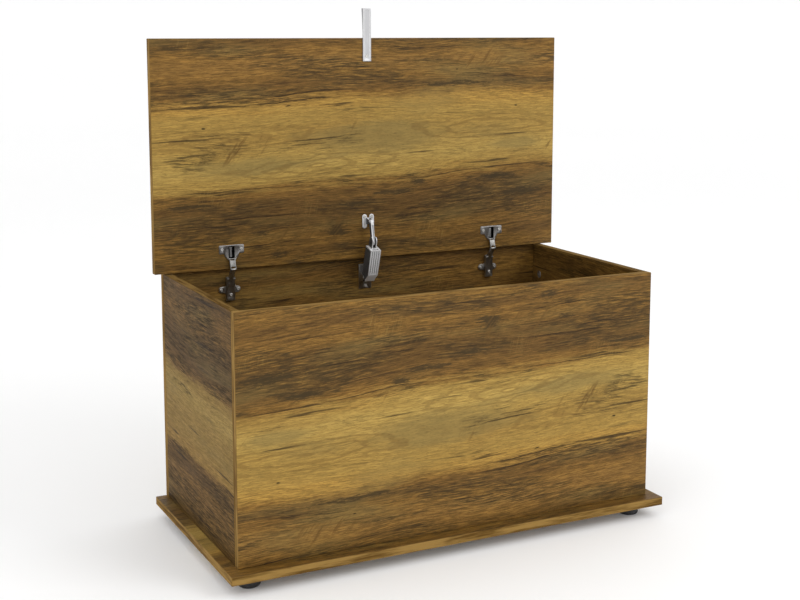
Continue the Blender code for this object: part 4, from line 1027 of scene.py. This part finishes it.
def pull():
    low, high = (Vector(corner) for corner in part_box("pull_strip"))
    lid_low, lid_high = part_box("lid_board")
    strip = thickened_strip(low, high, lid_low[1] - FIT, lid_high[2] + PULL_BEND_START)
    cut_away(strip, channel_cutter(low, high))
    cut_away(strip, screw_hole("pull_screw"))
    dress(strip, (BRUSHED_ALUMINIUM, ALUMINIUM_EDGE_HIGHLIGHT, SAWN_SHADED_ALUMINIUM))
    only(strip)
    bpy.ops.object.mode_set(mode="EDIT")
    # the sawn sides are a little rougher and painted darker, as shade; the rounded edges take a painted
    # highlight
    pick("FACE", lambda centre, normal: abs(normal.x) > FACING and abs(centre.x) > high.x - NEAR)
    strip.active_material_index = SIDE
    bpy.ops.object.material_slot_assign()
    ease_edges(strip, PULL_EASE, 3, edge_slot=EDGE, angle=50)
    complete(strip, "lid", "pull_strip")


pull()

# %% [markdown]
# ## Feet
# The feet are moulded from black plastic with the fine spark texture of the mould. A profile could be spun
# for the same shape, but it leaves a pole to close. Here a round is started at its place, its lower rim is
# rounded well so that it doesn't catch on a carpet, its sole is hollowed a little and a stud is drawn out
# of its top into the board. The other three are copies.

# %% Black plastic
SPARK_GRAIN = (1400, 1400, 1400)
SPARK_DEPTH = 0.05 * MM
DUST = (60, 60, 200)


def moulded_plastic(name, colour, roughness):
    material = bpy.data.materials.new(name)
    material.use_nodes = True
    tree = material.node_tree
    shader = tree.nodes["Principled BSDF"]
    where = tree.nodes.new("ShaderNodeTexCoord").outputs["Object"]
    grain = stretched_noise(tree, where, SPARK_GRAIN, detail=2.0)
    dust = stretched_noise(tree, where, DUST, detail=3.0)
    worn = tuple(2.4 * c for c in colour[:3]) + (1.0,)
    tone = tint(tree, ease(tree, dust, 0.45, 0.75, 0.0, 0.7), colour, worn)
    tree.links.new(tone, shader.inputs["Base Color"])
    tree.links.new(ease(tree, grain, 0.3, 0.7, roughness, roughness + 0.15), shader.inputs["Roughness"])
    bump = tree.nodes.new("ShaderNodeBump")
    bump.inputs["Strength"].default_value = 0.5
    bump.inputs["Distance"].default_value = SPARK_DEPTH
    tree.links.new(grain, bump.inputs["Height"])
    tree.links.new(bump.outputs[0], shader.inputs["Normal"])
    print("plastic:", name)
    return material


BLACK_PLASTIC = moulded_plastic("black plastic", (0.014, 0.014, 0.015, 1), 0.42)

# %% Feet
FOOT_SIDES = 64
FOOT_ROUND = 4.5 * MM
FOOT_BEVEL = 1 * MM
STUD = 3 * MM
SOLE_BORDER = 3 * MM
SOLE_HOLLOW = 0.8 * MM


def foot():
    low, high = (Vector(corner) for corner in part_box("foot_1"))
    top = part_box("base_board")[0][2] - FIT
    radius = (high.x - low.x) / 2
    middle = (low.x + radius, low.y + radius, (low.z + top) / 2)
    made = start_round("moulded_foot_1", middle, radius, top - low.z, FOOT_SIDES)
    pick("EDGE", lambda a, b: max(a.z, b.z) < low.z + NEAR)
    bpy.ops.mesh.bevel(offset=FOOT_ROUND, segments=7, affect="EDGES")
    pick("EDGE", lambda a, b: min(a.z, b.z) > top - NEAR)
    bpy.ops.mesh.bevel(offset=FOOT_BEVEL, segments=3, affect="EDGES")
    pick("FACE", lambda centre, normal: normal.z > FACING and centre.z > top - NEAR)
    bpy.ops.mesh.inset(thickness=radius - FOOT_BEVEL - STUD)
    bpy.ops.mesh.extrude_region_move(TRANSFORM_OT_translate={"value": (0, 0, high.z - top)})
    pick("FACE", lambda centre, normal: normal.z < -FACING and centre.z < low.z + NEAR)
    bpy.ops.mesh.inset(thickness=SOLE_BORDER)
    bpy.ops.mesh.extrude_region_move(TRANSFORM_OT_translate={"value": (0, 0, SOLE_HOLLOW)})
    nothing_selected()
    dress(made, (BLACK_PLASTIC,))
    return made


first_foot = foot()
first_place = Vector(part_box("foot_1")[0])
for number in range(2, 5):
    step = Vector(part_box(f"foot_{number}")[0]) - first_place
    complete(copied(first_foot, f"moulded_foot_{number}", 0, step), "case", f"foot_{number}")
complete(first_foot, "case", "foot_1")

# %% [markdown]
# ## Floor and light
# A photographer sets such a chest on a pale seamless floor and lights it from large soft boxes. A flat
# sheet would show its far edge as a line, so the floor here is one round sheet whose rim sweeps up all
# round, and no edge shows from any side.

# %% Floor
FLOOR_RADIUS = 5.0
FLOOR_SIDES = 96
FLOOR_SWEEP = ((5.6, 0.06), (6.1, 0.25), (6.5, 0.6), (6.8, 1.1), (7.0, 1.8), (7.0, 2.8))


def studio_floor():
    bpy.ops.object.select_all(action="DESELECT")
    bpy.ops.mesh.primitive_circle_add(
        vertices=FLOOR_SIDES, radius=FLOOR_RADIUS, fill_type="NGON", location=(0, 0, 0)
    )
    floor = bpy.context.object
    floor.name = "studio_floor"
    bpy.ops.object.mode_set(mode="EDIT")
    bpy.ops.mesh.select_mode(type="EDGE")
    bpy.ops.mesh.select_all(action="SELECT")
    bpy.ops.mesh.region_to_loop()
    reach, rise = FLOOR_RADIUS, 0.0
    for radius, height in FLOOR_SWEEP:
        bpy.ops.mesh.extrude_edges_move(TRANSFORM_OT_translate={"value": (0, 0, height - rise)})
        bpy.ops.transform.resize(value=(radius / reach, radius / reach, 1), center_override=(0, 0, 0))
        reach, rise = radius, height
    bpy.ops.object.mode_set(mode="OBJECT")
    bpy.ops.object.shade_smooth_by_angle(angle=math.radians(40))
    material = bpy.data.materials.new("pale floor")
    material.use_nodes = True
    shader = material.node_tree.nodes["Principled BSDF"]
    shader.inputs["Base Color"].default_value = (0.9, 0.9, 0.9, 1)
    shader.inputs["Roughness"].default_value = 0.9
    shader.inputs["Emission Color"].default_value = (1, 1, 1, 1)
    shader.inputs["Emission Strength"].default_value = 0.06
    floor.data.materials.append(material)
    print("floor sides:", len(floor.data.polygons))


studio_floor()

# %% Lights
def soft_box(name, place, target, size, watts):
    data = bpy.data.lights.new(name, "AREA")
    data.shape = "RECTANGLE"
    data.size, data.size_y = size
    data.energy = watts
    lamp = bpy.data.objects.new(name, data)
    bpy.context.scene.collection.objects.link(lamp)
    lamp.location = place
    lamp.rotation_euler = (Vector(target) - Vector(place)).to_track_quat("-Z", "Y").to_euler()
    print(name, "at", place, watts, "W")


def studio_light():
    world = bpy.data.worlds.new("studio")
    bpy.context.scene.world = world
    world.use_nodes = True
    background = world.node_tree.nodes["Background"]
    background.inputs["Color"].default_value = (1, 1, 1, 1)
    background.inputs["Strength"].default_value = 1.0
    soft_box("soft box right", (2.6, -3.2, 3.0), (0, 0, 0.4), (2.4, 2.0), 60)
    soft_box("soft box left", (-3.2, -2.0, 2.4), (0, 0, 0.4), (2.0, 2.0), 15)
    bpy.context.scene.view_settings.view_transform = "Standard"


studio_light()
